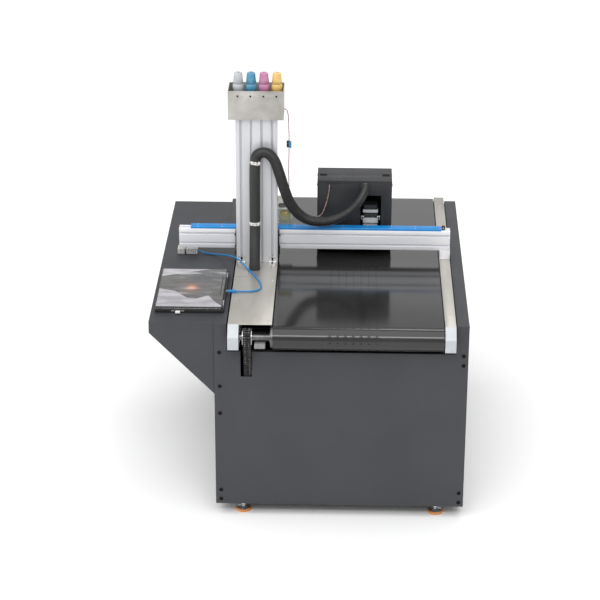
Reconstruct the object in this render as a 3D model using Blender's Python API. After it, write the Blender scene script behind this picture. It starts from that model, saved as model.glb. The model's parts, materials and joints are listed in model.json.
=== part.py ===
"""Belt-fed flatbed UV printer: cabinet, belt conveyor, gantry, ink column and carriage.

Frame: metres, +Z up, +Y to the rear, +X to the operator's right. The origin is on the floor,
at the centre of the plan. Every sub-part is one object, and each moving one has its origin
on its joint's axis.
"""
import math

import bmesh
import bpy
from mathutils import Vector

# ---------------------------------------------------------------- driving dimensions
GAP = 0.0003
SHEET = 0.003
CABINET_WIDTH = 0.941
CONSOLE_WIDTH = 0.240
CABINET_LENGTH = 1.275
FOOT_HEIGHT = 0.050
WALL_TOP = 0.805
FLANGE = 0.0477

RIGHT = (CABINET_WIDTH + CONSOLE_WIDTH) / 2
LEFT = -RIGHT
CABINET_LEFT = LEFT + CONSOLE_WIDTH
FRONT = -0.632
BACK = FRONT + CABINET_LENGTH
PANEL_TOP = 0.692
PANEL_LEFT = CABINET_LEFT + FLANGE + 2 * GAP
PANEL_RIGHT = RIGHT - FLANGE + 0.001
NOTCH_X = (-0.252, -0.210)
NOTCH_BOTTOM = 0.589
INLET_X = 0.400
INLET_Z = 0.150
INLET_HALF = (0.024, 0.014)
INLET_CLEARANCE = 0.0005

RAIL_WIDTH = 0.0405
LEFT_RAIL_X = -0.2965
RIGHT_RAIL_X = 0.500
RAIL_BOTTOM = 0.7125
RAIL_TOP = 0.8117
DECK_TOP = 0.815
DECK_Y = 0.657
BELT_X = (-0.131, 0.497)
BELT_RADIUS = 0.045
BELT_THICKNESS = 0.004
ROLLER_Y = 0.655
ROLLER_Z = 0.762
ROLLER_RADIUS = 0.0404
SHAFT_RADIUS = 0.0125
BORE_RADIUS = SHAFT_RADIUS + 0.0004
SPROCKET_X = -0.2255
SPROCKET_WIDTH = 0.037
SPROCKET_RADIUS = 0.0315
CHAIN_INNER_RADIUS = 0.0273
CHAIN_OUTER_RADIUS = 0.0353
MOTOR_Y = -0.557
MOTOR_Z = 0.505

BEAM_X = (-0.523, 0.539)
BEAM_HALF_DEPTH = 0.020
BEAM_Z = (0.8525, 0.9325)
BEAM_MIDDLE_Z = (BEAM_Z[0] + BEAM_Z[1]) / 2
COLUMN_X = (-0.295, -0.135)
COLUMN_Y = (-0.072, -0.032)
COLUMN_TOP = 1.4107
SLOT_PITCH = 0.040

TRAY_LOW = Vector((-0.321, -0.102, 1.411))
TRAY_HIGH = Vector((-0.1095, 0.013, 1.525))
TRAY_SHEET = 0.002
BOTTLE_X = -0.284
BOTTLE_PITCH = 0.049
BOTTLE_Y = -0.042
BOTTLE_TOP = 1.581

HOOD_LOW = Vector((0.017, 0.058, 0.819))
HOOD_HIGH = Vector((0.310, 0.206, 1.1067))
HOOD_SHEET = 0.002
HEAD_X = 0.227
HEAD_Y = 0.103
SHELF_Z = (0.921, 0.927)
ROD_SIDES = (-0.021, 0.021)
GLAND = Vector((0.204, 0.058, 1.086))
X_MOTOR = Vector((-0.109, 0.030, 0.966))
IDLER = Vector((0.5125, 0, 0.9408))
NEMA_23 = 0.057

LAPTOP_LOW = Vector((-0.574, -0.542, 0.8053))
LAPTOP_HIGH = Vector((-0.318, -0.180, 0.8303))
LID_THICKNESS = 0.0085

PAN_FLOOR = FOOT_HEIGHT + SHEET + 0.0005
FOOT_X = (-0.248, 0.488)
FOOT_Y = 0.582

HOSE_DIAMETER = 0.042
HOSE_ROUTE = [
    (-0.221, -0.140, 0.8154), (-0.221, -0.140, 0.840), (-0.221, -0.126, 0.890),
    (-0.221, -0.107, 0.945), (-0.221, -0.098, 1.000), (-0.221, -0.096, 1.080),
    (-0.221, -0.096, 1.170), (-0.220, -0.098, 1.220), (-0.2155, -0.101, 1.262),
    (-0.196, -0.104, 1.281), (-0.1675, -0.105, 1.278), (-0.144, -0.103, 1.249),
    (-0.124, -0.099, 1.190), (-0.106, -0.090, 1.125), (-0.086, -0.074, 1.066),
    (-0.053, -0.056, 1.014), (-0.012, -0.042, 0.983), (0.032, -0.034, 0.974),
    (0.074, -0.030, 0.978), (0.113, -0.028, 0.994), (0.150, -0.026, 1.020),
    (0.181, -0.018, 1.053), (0.199, 0.004, 1.078), (0.204, 0.026, 1.086),
    (0.204, 0.0437, 1.086),
]
USB_DIAMETER = 0.006
USB_ROUTE = [
    (-0.4532, 0.034, 0.8140), (-0.443, 0.034, 0.8140), (-0.424, 0.0275, 0.8098),
    (-0.395, 0.021, 0.8087), (-0.371, 0.005, 0.8135), (-0.345, -0.018, 0.8215),
    (-0.319, -0.048, 0.8295), (-0.2945, -0.080, 0.8335), (-0.2725, -0.109, 0.8290),
    (-0.2526, -0.142, 0.8208), (-0.231, -0.186, 0.8187), (-0.208, -0.238, 0.8185),
    (-0.191, -0.296, 0.8185), (-0.189, -0.333, 0.8185), (-0.203, -0.356, 0.8185),
    (-0.228, -0.3655, 0.8190), (-0.256, -0.369, 0.8196), (-0.2802, -0.369, 0.8196),
]
WIRE_DIAMETER = 0.0036
UPPER_WIRE_ROUTE = [
    (-0.1092, -0.044, 1.437), (-0.104, -0.044, 1.437), (-0.097, -0.044, 1.428),
    (-0.093, -0.044, 1.400), (-0.092, -0.044, 1.365), (-0.091, -0.044, 1.3303),
    (-0.091, -0.044, 1.3103),
]
LOWER_WIRE_ROUTE = [
    (-0.091, -0.044, 1.2807), (-0.091, -0.044, 1.262), (-0.092, -0.040, 1.210),
    (-0.092, -0.033, 1.150), (-0.089, -0.022, 1.090), (-0.076, -0.008, 1.040),
    (-0.050, 0.004, 1.003), (-0.018, 0.012, 0.980), (0.012, 0.018, 0.972),
    (0.035, 0.026, 0.982), (0.048, 0.033, 1.010), (0.058, 0.038, 1.045),
    (0.0635, 0.043, 1.078), (0.064, 0.050, 1.0955), (0.064, 0.0575, 1.0955),
]

# colour, roughness and metallic value of each material
MATERIALS = {
    "charcoal_powder_coat": ((0.075, 0.078, 0.085), 0.55, 0.0),
    "black_paint": ((0.025, 0.026, 0.028), 0.5, 0.0),
    "anodised_aluminium": ((0.70, 0.71, 0.73), 0.35, 1.0),
    "end_block_grey": ((0.58, 0.60, 0.62), 0.5, 0.0),
    "stainless_sheet": ((0.56, 0.54, 0.51), 0.32, 1.0),
    "belt_rubber": ((0.055, 0.055, 0.057), 0.35, 0.0),
    "bright_steel": ((0.62, 0.62, 0.62), 0.25, 1.0),
    "zinc_bracket": ((0.66, 0.66, 0.62), 0.35, 1.0),
    "black_chain": ((0.03, 0.03, 0.03), 0.4, 1.0),
    "brass": ((0.60, 0.50, 0.20), 0.35, 1.0),
    "blue_cover": ((0.02, 0.24, 0.75), 0.4, 0.0),
    "blue_cable": ((0.03, 0.25, 0.62), 0.4, 0.0),
    "black_plastic": ((0.02, 0.02, 0.021), 0.45, 0.0),
    "black_sleeve": ((0.022, 0.022, 0.024), 0.6, 0.0),
    "silver_plastic": ((0.70, 0.70, 0.70), 0.4, 0.0),
    "wire_red": ((0.30, 0.08, 0.07), 0.5, 0.0),
    "ink_grey": ((0.55, 0.57, 0.58), 0.4, 0.0),
    "ink_cyan": ((0.03, 0.30, 0.55), 0.4, 0.0),
    "ink_magenta": ((0.65, 0.17, 0.42), 0.4, 0.0),
    "ink_yellow": ((0.80, 0.55, 0.12), 0.4, 0.0),
    "orange_rubber": ((0.75, 0.30, 0.08), 0.6, 0.0),
}


# ---------------------------------------------------------------- helpers
def clear_scene():
    for item in list(bpy.data.objects):
        bpy.data.objects.remove(item)


def material(name):
    found = bpy.data.materials.get(name)
    if found:
        return found
    colour, roughness, metallic = MATERIALS[name]
    made = bpy.data.materials.new(name)
    made.use_nodes = True
    shader = made.node_tree.nodes["Principled BSDF"]
    shader.inputs["Base Color"].default_value = (*colour, 1.0)
    shader.inputs["Roughness"].default_value = roughness
    shader.inputs["Metallic"].default_value = metallic
    return made


def place(name, work, material_name, origin=(0, 0, 0)):
    """Turns a bmesh drawn in world space into an object whose origin is at the given point."""
    bmesh.ops.recalc_face_normals(work, faces=work.faces)
    bmesh.ops.translate(work, verts=work.verts, vec=-Vector(origin))
    mesh = bpy.data.meshes.new(name)
    work.to_mesh(mesh)
    work.free()
    mesh.materials.append(material(material_name))
    item = bpy.data.objects.new(name, mesh)
    item.location = origin
    bpy.context.scene.collection.objects.link(item)
    return item


def smooth(item, angle=35):
    item.data.shade_smooth()
    item.data.set_sharp_from_angle(angle=math.radians(angle))
    return item


def add_box(work, low, high):
    spans = list(zip(low, high))
    corners = [Vector((x, y, z)) for x in spans[0] for y in spans[1] for z in spans[2]]
    verts = [work.verts.new(c) for c in corners]
    for face in ((0, 1, 3, 2), (4, 6, 7, 5), (0, 4, 5, 1), (2, 3, 7, 6), (0, 2, 6, 4), (1, 5, 7, 3)):
        work.faces.new([verts[i] for i in face])


def box(name, low, high, material_name, origin=(0, 0, 0)):
    work = bmesh.new()
    add_box(work, low, high)
    return place(name, work, material_name, origin)


def add_prism(work, outline, axis, start, end):
    """Extrudes a closed outline. Its points are (y, z) along X, (x, z) along Y and (x, y) along Z."""

    def spot(u, v, w):
        if axis == "X":
            return Vector((w, u, v))
        if axis == "Y":
            return Vector((u, w, v))
        return Vector((u, v, w))

    near = [work.verts.new(spot(u, v, start)) for u, v in outline]
    far = [work.verts.new(spot(u, v, end)) for u, v in outline]
    count = len(outline)
    work.faces.new(near)
    work.faces.new(far)
    for i in range(count):
        j = (i + 1) % count
        work.faces.new((near[i], near[j], far[j], far[i]))


def prism(name, outline, axis, start, end, material_name, origin=(0, 0, 0)):
    work = bmesh.new()
    add_prism(work, outline, axis, start, end)
    return place(name, work, material_name, origin)


def add_turned(work, profile, axis, centre, steps):
    """Turns a profile of (radius, distance along the axis) round an axis through a centre."""
    centre = Vector(centre)

    def spot(radius, along, angle):
        u = radius * math.cos(angle)
        v = radius * math.sin(angle)
        if axis == "X":
            return centre + Vector((along, u, v))
        if axis == "Y":
            return centre + Vector((u, along, v))
        return centre + Vector((u, v, along))

    rings = []
    for radius, along in profile:
        if radius == 0:
            rings.append([work.verts.new(spot(0, along, 0))])
        else:
            angles = [2 * math.pi * i / steps for i in range(steps)]
            rings.append([work.verts.new(spot(radius, along, angle)) for angle in angles])
    closed = profile[0][0] > 0
    pairs = list(zip(rings, rings[1:]))
    if closed:
        pairs.append((rings[-1], rings[0]))
    for first, second in pairs:
        for i in range(steps):
            j = (i + 1) % steps
            near = [first[i % len(first)], first[j % len(first)]]
            far = [second[j % len(second)], second[i % len(second)]]
            work.faces.new(list(dict.fromkeys(near + far)))


def turned(name, profile, axis, centre, material_name, steps=24):
    work = bmesh.new()
    add_turned(work, profile, axis, centre, steps)
    return smooth(place(name, work, material_name, centre))


def rod(radius, start, end):
    """Profile of a plain round rod, for the two functions above."""
    return [(0, start), (radius, start), (radius, end), (0, end)]


def hide_cutter(item):
    item.hide_render = True
    item.display_type = "WIRE"


def cutter(name, fill):
    """Makes a cutter object from a function that draws into a bmesh."""
    work = bmesh.new()
    fill(work)
    item = place(name, work, "black_plastic")
    hide_cutter(item)
    return item


def combine(item, tool, operation):
    hide_cutter(tool)
    step = item.modifiers.new(operation.lower(), "BOOLEAN")
    step.operation = operation
    step.solver = "EXACT"
    step.object = tool


def cut(item, fill):
    combine(item, cutter(item.name + "_cutter", fill), "DIFFERENCE")


def join(item, fill):
    combine(item, cutter(item.name + "_addition", fill), "UNION")


def tray(name, low, high, open_side, thickness, material_name):
    """A folded sheet tray: a box shell that is open on one side, such as '+X' or '+Z'."""
    axis = "XYZ".index(open_side[1])
    inner_low = Vector(low) + Vector((thickness,) * 3)
    inner_high = Vector(high) - Vector((thickness,) * 3)
    beyond = 0.01
    if open_side[0] == "+":
        inner_high[axis] = high[axis] + beyond
    else:
        inner_low[axis] = low[axis] - beyond
    item = box(name, low, high, material_name)
    cut(item, lambda work: add_box(work, inner_low, inner_high))
    return item


def round_outline(centre, radius, start, end, steps):
    """Points on an arc, from one angle to another, in degrees."""
    points = []
    for i in range(steps + 1):
        angle = math.radians(start + (end - start) * i / steps)
        points.append((centre[0] + radius * math.cos(angle), centre[1] + radius * math.sin(angle)))
    return points


def ring_prism(name, outer, inner, axis, start, end, material_name):
    """A closed band: the space between two outlines that have the same number of points."""
    work = bmesh.new()

    def spot(point, along):
        if axis == "X":
            return Vector((along, point[0], point[1]))
        return Vector((point[0], along, point[1]))

    def loop(outline, along):
        return [work.verts.new(spot(point, along)) for point in outline]

    outer_near = loop(outer, start)
    outer_far = loop(outer, end)
    inner_near = loop(inner, start)
    inner_far = loop(inner, end)
    count = len(outer)
    for i in range(count):
        j = (i + 1) % count
        work.faces.new((outer_near[i], outer_near[j], outer_far[j], outer_far[i]))
        work.faces.new((inner_near[j], inner_near[i], inner_far[i], inner_far[j]))
        work.faces.new((outer_near[j], outer_near[i], inner_near[i], inner_near[j]))
        work.faces.new((outer_far[i], outer_far[j], inner_far[j], inner_far[i]))
    return smooth(place(name, work, material_name))


def slot_notch(along, surface, inward):
    """One T-slot of a 40 mm series profile, as (along, depth) points, from one lip to the other."""
    mouth = 0.004
    lip = 0.0025
    half_pocket = 0.0075
    depth = 0.0095
    steps = [(-mouth, 0), (-mouth, lip), (-half_pocket, lip), (-half_pocket, depth)]
    mirrored = [(-a, d) for a, d in reversed(steps)]
    return [(along + a, surface + inward * d) for a, d in steps + mirrored]


def extrusion_outline(low, high, slots_u, slots_v):
    """Outline of an aluminium profile with T-slots on its two u faces and two v faces."""
    (u0, v0), (u1, v1) = low, high
    points = [(u0, v0)]
    for u in slots_u:
        points += slot_notch(u, v0, 1)
    points.append((u1, v0))
    for v in slots_v:
        points += [(b, a) for a, b in slot_notch(v, u1, -1)]
    points.append((u1, v1))
    for u in reversed(slots_u):
        points += list(reversed(slot_notch(u, v1, -1)))
    points.append((u0, v1))
    for v in reversed(slots_v):
        points += [(b, a) for a, b in reversed(slot_notch(v, u0, 1))]
    return points


def catmull_rom(route, spacing):
    """A smooth curve through the route's points, sampled at about the given spacing."""
    points = [Vector(p) for p in route]
    ends = [points[0] * 2 - points[1]] + points + [points[-1] * 2 - points[-2]]
    fine = [points[0]]
    for a, b, c, d in zip(ends, ends[1:], ends[2:], ends[3:]):
        pieces = max(1, round((c - b).length / spacing))
        for i in range(1, pieces + 1):
            t = i / pieces
            fine.append(0.5 * (2 * b + (c - a) * t + (2 * a - 5 * b + 4 * c - d) * t ** 2
                               + (3 * b - a - 3 * c + d) * t ** 3))
    return fine


def cord(name, route, diameter, material_name, bevel_resolution=2):
    points = catmull_rom(route, diameter * 2.5)
    curve = bpy.data.curves.new(name, "CURVE")
    curve.dimensions = "3D"
    curve.bevel_depth = diameter / 2
    curve.bevel_resolution = bevel_resolution
    curve.use_fill_caps = True
    spline = curve.splines.new("POLY")
    spline.points.add(len(points) - 1)
    for target, point in zip(spline.points, points):
        target.co = (*point, 1.0)
    curve.materials.append(material(material_name))
    item = bpy.data.objects.new(name, curve)
    bpy.context.scene.collection.objects.link(item)
    return item


# ---------------------------------------------------------------- cabinet
def make_walls():
    front = FRONT + SHEET + GAP
    back = BACK - SHEET - GAP
    for name, low_x, high_x, open_side in (("left_wall", CABINET_LEFT, CABINET_LEFT + FLANGE, "+X"),
                                           ("right_wall", PANEL_RIGHT + 2 * GAP, RIGHT, "-X")):
        tray(name, (low_x, front, FOOT_HEIGHT), (high_x, back, WALL_TOP), open_side, SHEET,
             "charcoal_powder_coat")


def end_sheet(name, face, inward):
    """One end of the cabinet: a full-width sheet with a notch for the conveyor and a fold along the notch."""
    left = CABINET_LEFT + FLANGE
    fold = 0.020
    fold_clearance = 0.001
    outline = [(CABINET_LEFT, FOOT_HEIGHT), (RIGHT, FOOT_HEIGHT), (RIGHT, WALL_TOP),
               (PANEL_RIGHT, WALL_TOP), (PANEL_RIGHT, PANEL_TOP), (left, PANEL_TOP),
               (left, WALL_TOP), (CABINET_LEFT, WALL_TOP)]
    item = prism(name, outline, "Y", face, face + inward * SHEET, "charcoal_powder_coat")
    ends = sorted((face + inward * SHEET / 2, face + inward * fold))
    low = (PANEL_LEFT + fold_clearance, ends[0], PANEL_TOP - SHEET)
    high = (PANEL_RIGHT - fold_clearance, ends[1], PANEL_TOP)
    join(item, lambda work: add_box(work, low, high))
    return item


def make_front_panel():
    item = end_sheet("front_panel", FRONT, 1)
    beyond = 0.01
    low = (NOTCH_X[0], FRONT - beyond, NOTCH_BOTTOM)
    high = (NOTCH_X[1], FRONT + 3 * beyond, PANEL_TOP + beyond)
    cut(item, lambda work: add_box(work, low, high))


def make_rear_panel():
    item = end_sheet("rear_panel", BACK, -1)
    vent_rows = 7
    vent_width = 0.180
    vent_height = 0.006
    vent_pitch = 0.018
    vent_bottom = 0.470
    vent_left = (-0.12, 0.18)
    beyond = 0.01
    wide = INLET_HALF[0] + INLET_CLEARANCE
    tall = INLET_HALF[1] + INLET_CLEARANCE

    def openings(work):
        for x in vent_left:
            for row in range(vent_rows):
                z = vent_bottom + row * vent_pitch
                add_box(work, (x, BACK - beyond, z), (x + vent_width, BACK + beyond, z + vent_height))
        add_box(work, (INLET_X - wide, BACK - beyond, INLET_Z - tall),
                (INLET_X + wide, BACK + beyond, INLET_Z + tall))

    cut(item, openings)


def make_power_inlet():
    """Appliance inlet in the rear panel, with an open socket that faces the rear."""
    plate_half = (0.028, 0.018)
    plate_thickness = 0.0045
    socket_half = (0.012, 0.008)
    body_depth = 0.024
    socket_depth = 0.015
    inside_plate = 0.002
    beyond = 0.02

    def block(half, start, end):
        low = (INLET_X - half[0], start, INLET_Z - half[1])
        high = (INLET_X + half[0], end, INLET_Z + half[1])
        return low, high

    item = box("power_inlet", *block(plate_half, BACK + GAP, BACK + plate_thickness), "black_plastic")
    body = block(INLET_HALF, BACK - body_depth, BACK + inside_plate)
    join(item, lambda work: add_box(work, *body))
    socket = block(socket_half, BACK - socket_depth, BACK + beyond)
    cut(item, lambda work: add_box(work, *socket))


def make_base_pan():
    margin = SHEET + 2 * GAP
    rim = 0.025
    low = (PANEL_LEFT, FRONT + margin, FOOT_HEIGHT)
    high = (PANEL_RIGHT, BACK - margin, FOOT_HEIGHT + rim)
    tray("base_pan", low, high, "+Z", SHEET, "charcoal_powder_coat")


def make_console():
    """Side console: a folded sheet shell with a sloping underside, open towards the cabinet."""
    inner_side = CABINET_LEFT - GAP
    drop = 0.045
    low_edge = 0.5135
    front = FRONT + 0.006
    rear = 0.604
    outline = [(inner_side, WALL_TOP), (LEFT, WALL_TOP), (LEFT, WALL_TOP - drop), (inner_side, low_edge)]
    item = prism("console_shell", outline, "Y", front, rear, "charcoal_powder_coat")
    sloped_sheet = SHEET * 1.43
    beyond = 0.01
    hollow = [(inner_side + beyond, WALL_TOP - SHEET), (LEFT + SHEET, WALL_TOP - SHEET),
              (LEFT + SHEET, WALL_TOP - drop + SHEET / 2), (inner_side, low_edge + sloped_sheet),
              (inner_side + beyond, low_edge + sloped_sheet)]
    cut(item, lambda work: add_prism(work, hollow, "Y", front + SHEET, rear - SHEET))


def make_cross_members():
    side = 0.040
    top = RAIL_BOTTOM - GAP
    for name, y in (("front_cross_member", -0.500), ("rear_cross_member", 0.460)):
        box(name, (PANEL_LEFT, y, top - side), (PANEL_RIGHT, y + side, top), "black_paint")


def make_feet():
    pad = 0.030
    neck = 0.013
    stud = 0.006
    nut = 0.011
    top = FOOT_HEIGHT - GAP
    profile = [(0, 0), (pad - 0.002, 0), (pad, 0.002), (pad, 0.008), (pad - 0.004, 0.011),
               (neck, 0.017), (neck, 0.022), (stud, 0.022), (stud, 0.036), (nut, 0.036), (nut, top), (0, top)]
    number = 1
    for y in (-FOOT_Y, FOOT_Y):
        for x in FOOT_X:
            turned(f"foot_{number}", profile, "Z", (x, y, 0), "orange_rubber")
            number += 1


def make_control_box():
    size = Vector((0.300, 0.300, 0.1465))
    corner = Vector((0.200, 0.250, PAN_FLOOR))
    box("control_box", corner, corner + size, "bright_steel")


# ---------------------------------------------------------------- conveyor
def make_rails():
    """Side rails with chamfered noses that hold the roller shafts."""
    nose = ROLLER_Y + 0.042
    under_nose = 0.727
    step_back = 0.600
    chamfer_low = 0.7765
    chamfer_end = 0.6595
    end_of_deck = DECK_Y + 0.0005
    nose_top = DECK_TOP - GAP
    half = [(step_back, RAIL_BOTTOM), (step_back, under_nose), (nose, under_nose), (nose, chamfer_low),
            (chamfer_end, nose_top), (end_of_deck, nose_top), (end_of_deck, RAIL_TOP)]
    outline = half + [(-y, z) for y, z in reversed(half)]
    for name, x in (("left_rail", LEFT_RAIL_X), ("right_rail", RIGHT_RAIL_X)):
        item = prism(name, outline, "X", x, x + RAIL_WIDTH, "end_block_grey")

        def bores(work, low=x):
            for y in (-ROLLER_Y, ROLLER_Y):
                add_turned(work, rod(BORE_RADIUS, -0.01, 0.06), "X", (low, y, ROLLER_Z), 24)

        cut(item, bores)


def make_deck_strips():
    bottom = RAIL_TOP + GAP
    plate_right = -0.134
    for name, low_x, high_x in (("left_plate", LEFT_RAIL_X, plate_right),
                                ("right_strip", RIGHT_RAIL_X, RIGHT_RAIL_X + RAIL_WIDTH)):
        box(name, (low_x, -DECK_Y, bottom), (high_x, DECK_Y, DECK_TOP), "stainless_sheet")


def make_vacuum_table():
    margin = 0.006
    half_length = 0.590
    low = (BELT_X[0] + margin, -half_length, 0.757)
    high = (BELT_X[1] - margin, half_length, 0.8022)
    tray("vacuum_table", low, high, "-Z", 0.004, "anodised_aluminium")


def belt_outline(radius):
    steps = 14
    front = round_outline((-ROLLER_Y, ROLLER_Z), radius, 270, 90, steps)
    rear = round_outline((ROLLER_Y, ROLLER_Z), radius, 90, -90, steps)
    return front + rear


def make_belt():
    ring_prism("conveyor_belt", belt_outline(BELT_RADIUS), belt_outline(BELT_RADIUS - BELT_THICKNESS), "X",
               BELT_X[0], BELT_X[1], "belt_rubber")


def make_rollers():
    left_end = -0.290
    drum_left = -0.140
    drum_right = 0.4965
    right_end = 0.536
    profile = [(0, left_end), (SHAFT_RADIUS, left_end), (SHAFT_RADIUS, drum_left),
               (ROLLER_RADIUS, drum_left), (ROLLER_RADIUS, drum_right), (SHAFT_RADIUS, drum_right),
               (SHAFT_RADIUS, right_end), (0, right_end)]
    for name, y in (("front_roller", -ROLLER_Y), ("rear_roller", ROLLER_Y)):
        turned(name, profile, "X", (0, y, ROLLER_Z), "bright_steel", steps=32)


def sprocket_profile():
    half = SPROCKET_WIDTH / 2
    flange = 0.003
    groove = CHAIN_INNER_RADIUS - GAP
    return [(BORE_RADIUS, -half), (SPROCKET_RADIUS, -half), (SPROCKET_RADIUS, flange - half),
            (groove, flange - half), (groove, half - flange), (SPROCKET_RADIUS, half - flange),
            (SPROCKET_RADIUS, half), (BORE_RADIUS, half)]


def make_sprockets():
    for name, y, z in (("roller_sprocket", -ROLLER_Y, ROLLER_Z), ("motor_sprocket", MOTOR_Y, MOTOR_Z)):
        turned(name, sprocket_profile(), "X", (SPROCKET_X, y, z), "bright_steel", steps=28)


def chain_outline(radius):
    """A loop round both sprockets, in the plane of the side view."""
    run = Vector((MOTOR_Y + ROLLER_Y, MOTOR_Z - ROLLER_Z))
    heading = math.degrees(math.atan2(run.y, run.x))
    steps = 12
    upper = round_outline((-ROLLER_Y, ROLLER_Z), radius, heading + 90, heading + 270, steps)
    lower = round_outline((MOTOR_Y, MOTOR_Z), radius, heading - 90, heading + 90, steps)
    return upper + lower


def make_chain():
    half = SPROCKET_WIDTH / 2 - 0.0035
    ring_prism("drive_chain", chain_outline(CHAIN_OUTER_RADIUS), chain_outline(CHAIN_INNER_RADIUS), "X",
               SPROCKET_X - half, SPROCKET_X + half, "black_chain")


def make_drive_motor():
    """Gear motor that drives the chain, on a bracket behind the front panel."""
    centre = (0, MOTOR_Y, MOTOR_Z)
    gearbox_half = 0.045
    gearbox_x = (-0.200, -0.100)
    motor_radius = 0.040
    motor_right = 0.060
    shaft_left = -0.250
    overlap = 0.010
    bracket_top = MOTOR_Z - 0.042
    bracket_sheet = 0.008
    item = box("drive_motor", (gearbox_x[0], MOTOR_Y - gearbox_half, MOTOR_Z - gearbox_half),
               (gearbox_x[1], MOTOR_Y + gearbox_half, MOTOR_Z + gearbox_half), "black_paint")

    def barrel(work):
        add_turned(work, rod(motor_radius, gearbox_x[1] - overlap, motor_right), "X", centre, 24)

    def shaft(work):
        add_turned(work, rod(SHAFT_RADIUS, shaft_left, gearbox_x[0] + overlap), "X", centre, 24)

    def bracket(work):
        add_box(work, (gearbox_x[0] + overlap, FRONT + SHEET + GAP, bracket_top - bracket_sheet),
                (gearbox_x[1] - overlap, MOTOR_Y + 0.040, bracket_top))

    join(item, barrel)
    combine(item, cutter("drive_motor_shaft", shaft), "UNION")
    combine(item, cutter("drive_motor_bracket", bracket), "UNION")


def make_blower():
    """Suction blower on the base pan, with its duct up to the side of the vacuum table."""
    centre = (-0.140, 0.100, 0)
    radius = 0.110
    top = 0.150
    duct_left = -0.235
    duct_right = -0.160
    duct_y = (0.100, 0.190)
    outlet_x = -0.1256
    outlet_z = (0.760, 0.799)
    item = turned("vacuum_blower", rod(radius, PAN_FLOOR, top), "Z", centre, "black_plastic", steps=28)
    duct = [(duct_left, top - 0.010), (duct_right, top - 0.010), (duct_right, outlet_z[0]),
            (outlet_x, outlet_z[0]), (outlet_x, outlet_z[1]), (duct_left, outlet_z[1])]
    join(item, lambda work: add_prism(work, duct, "Y", *duct_y))


# ---------------------------------------------------------------- gantry and column
def make_column():
    middle = (COLUMN_Y[0] + COLUMN_Y[1]) / 2
    slots = [COLUMN_X[0] + SLOT_PITCH * (i + 0.5) for i in range(4)]
    outline = extrusion_outline((COLUMN_X[0], COLUMN_Y[0]), (COLUMN_X[1], COLUMN_Y[1]), slots, [middle])
    prism("column", outline, "Z", DECK_TOP + GAP, COLUMN_TOP, "anodised_aluminium")
    side = 0.006
    box("column_adapter", (COLUMN_X[0] - side, COLUMN_Y[1] + GAP, DECK_TOP + GAP),
        (COLUMN_X[1] + side, -BEAM_HALF_DEPTH - GAP, BEAM_Z[1]), "black_paint")


def make_beam():
    slots = [BEAM_Z[0] + SLOT_PITCH * (i + 0.5) for i in range(2)]
    outline = extrusion_outline((-BEAM_HALF_DEPTH, BEAM_Z[0]), (BEAM_HALF_DEPTH, BEAM_Z[1]), [0], slots)
    prism("gantry_beam", outline, "X", BEAM_X[0], BEAM_X[1], "anodised_aluminium")
    for name, x in (("left_beam_support", LEFT_RAIL_X), ("right_beam_support", RIGHT_RAIL_X)):
        box(name, (x, -BEAM_HALF_DEPTH, DECK_TOP + GAP), (x + RAIL_WIDTH, BEAM_HALF_DEPTH, BEAM_Z[0] - GAP),
            "anodised_aluminium")


def make_belt_cover():
    bottom = BEAM_Z[1] + GAP
    half = 0.0185
    top = 0.9410
    bevel = 0.002
    ends = (-0.477, 0.504)
    outline = [(-half, bottom), (half, bottom), (half, top - bevel), (half - bevel, top),
               (bevel - half, top), (-half, top - bevel)]
    prism("belt_cover", outline, "X", *ends, "blue_cover")


def make_x_rail():
    half = 0.006
    ends = (-0.073, 0.530)
    back = 0.0283
    box("x_rail", (ends[0], BEAM_HALF_DEPTH + GAP, BEAM_MIDDLE_Z - half),
        (ends[1], back, BEAM_MIDDLE_Z + half), "bright_steel")


def make_x_drive():
    """Carriage motor on its bracket behind the beam, its pulley, and the idler at the far end."""
    x, y, z = X_MOTOR
    half = NEMA_23 / 2
    bracket_bottom = 0.862
    bracket_front = y + 0.022
    bracket_sheet = 0.006
    foot_height = 0.040
    motor_length = 0.050
    overlap = 0.003
    item = box("x_motor", (x - half, bracket_front, bracket_bottom),
               (x + half, bracket_front + bracket_sheet, z + half), "zinc_bracket")

    def body(work):
        front = bracket_front + 0.005
        add_box(work, (x - half, front, z - half), (x + half, front + motor_length + 0.001, z + half))

    def foot(work):
        add_box(work, (x - half, BEAM_HALF_DEPTH + GAP, bracket_bottom),
                (x + half, bracket_front + overlap, bracket_bottom + foot_height))

    def shaft(work):
        add_turned(work, rod(0.004, -0.002, 0.025), "Y", (x, y, z), 16)

    join(item, body)
    combine(item, cutter("x_motor_foot", foot), "UNION")
    combine(item, cutter("x_motor_shaft", shaft), "UNION")
    bore = 0.0043
    flange = 0.0195
    teeth = 0.016
    pulley = [(bore, 0.001), (flange, 0.001), (flange, 0.003), (teeth, 0.003), (teeth, 0.015),
              (flange, 0.015), (flange, 0.017), (bore, 0.017)]
    turned("x_pulley", pulley, "Y", (x, y, z), "brass")
    turned("idler_pulley", rod(0.0075, -0.007, 0.007), "Y", IDLER, "black_plastic", steps=20)


def make_ink_tray():
    item = tray("ink_tray", TRAY_LOW, TRAY_HIGH, "+Z", TRAY_SHEET, "stainless_sheet")
    hole_z = TRAY_HIGH.z - 0.020

    def holes(work):
        for i in range(4):
            place_x = BOTTLE_X + i * BOTTLE_PITCH
            add_turned(work, rod(0.0025, -0.01, 0.01), "Y", (place_x, TRAY_LOW.y, hole_z), 12)

    combine(item, cutter("ink_tray_holes", holes), "DIFFERENCE")


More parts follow.
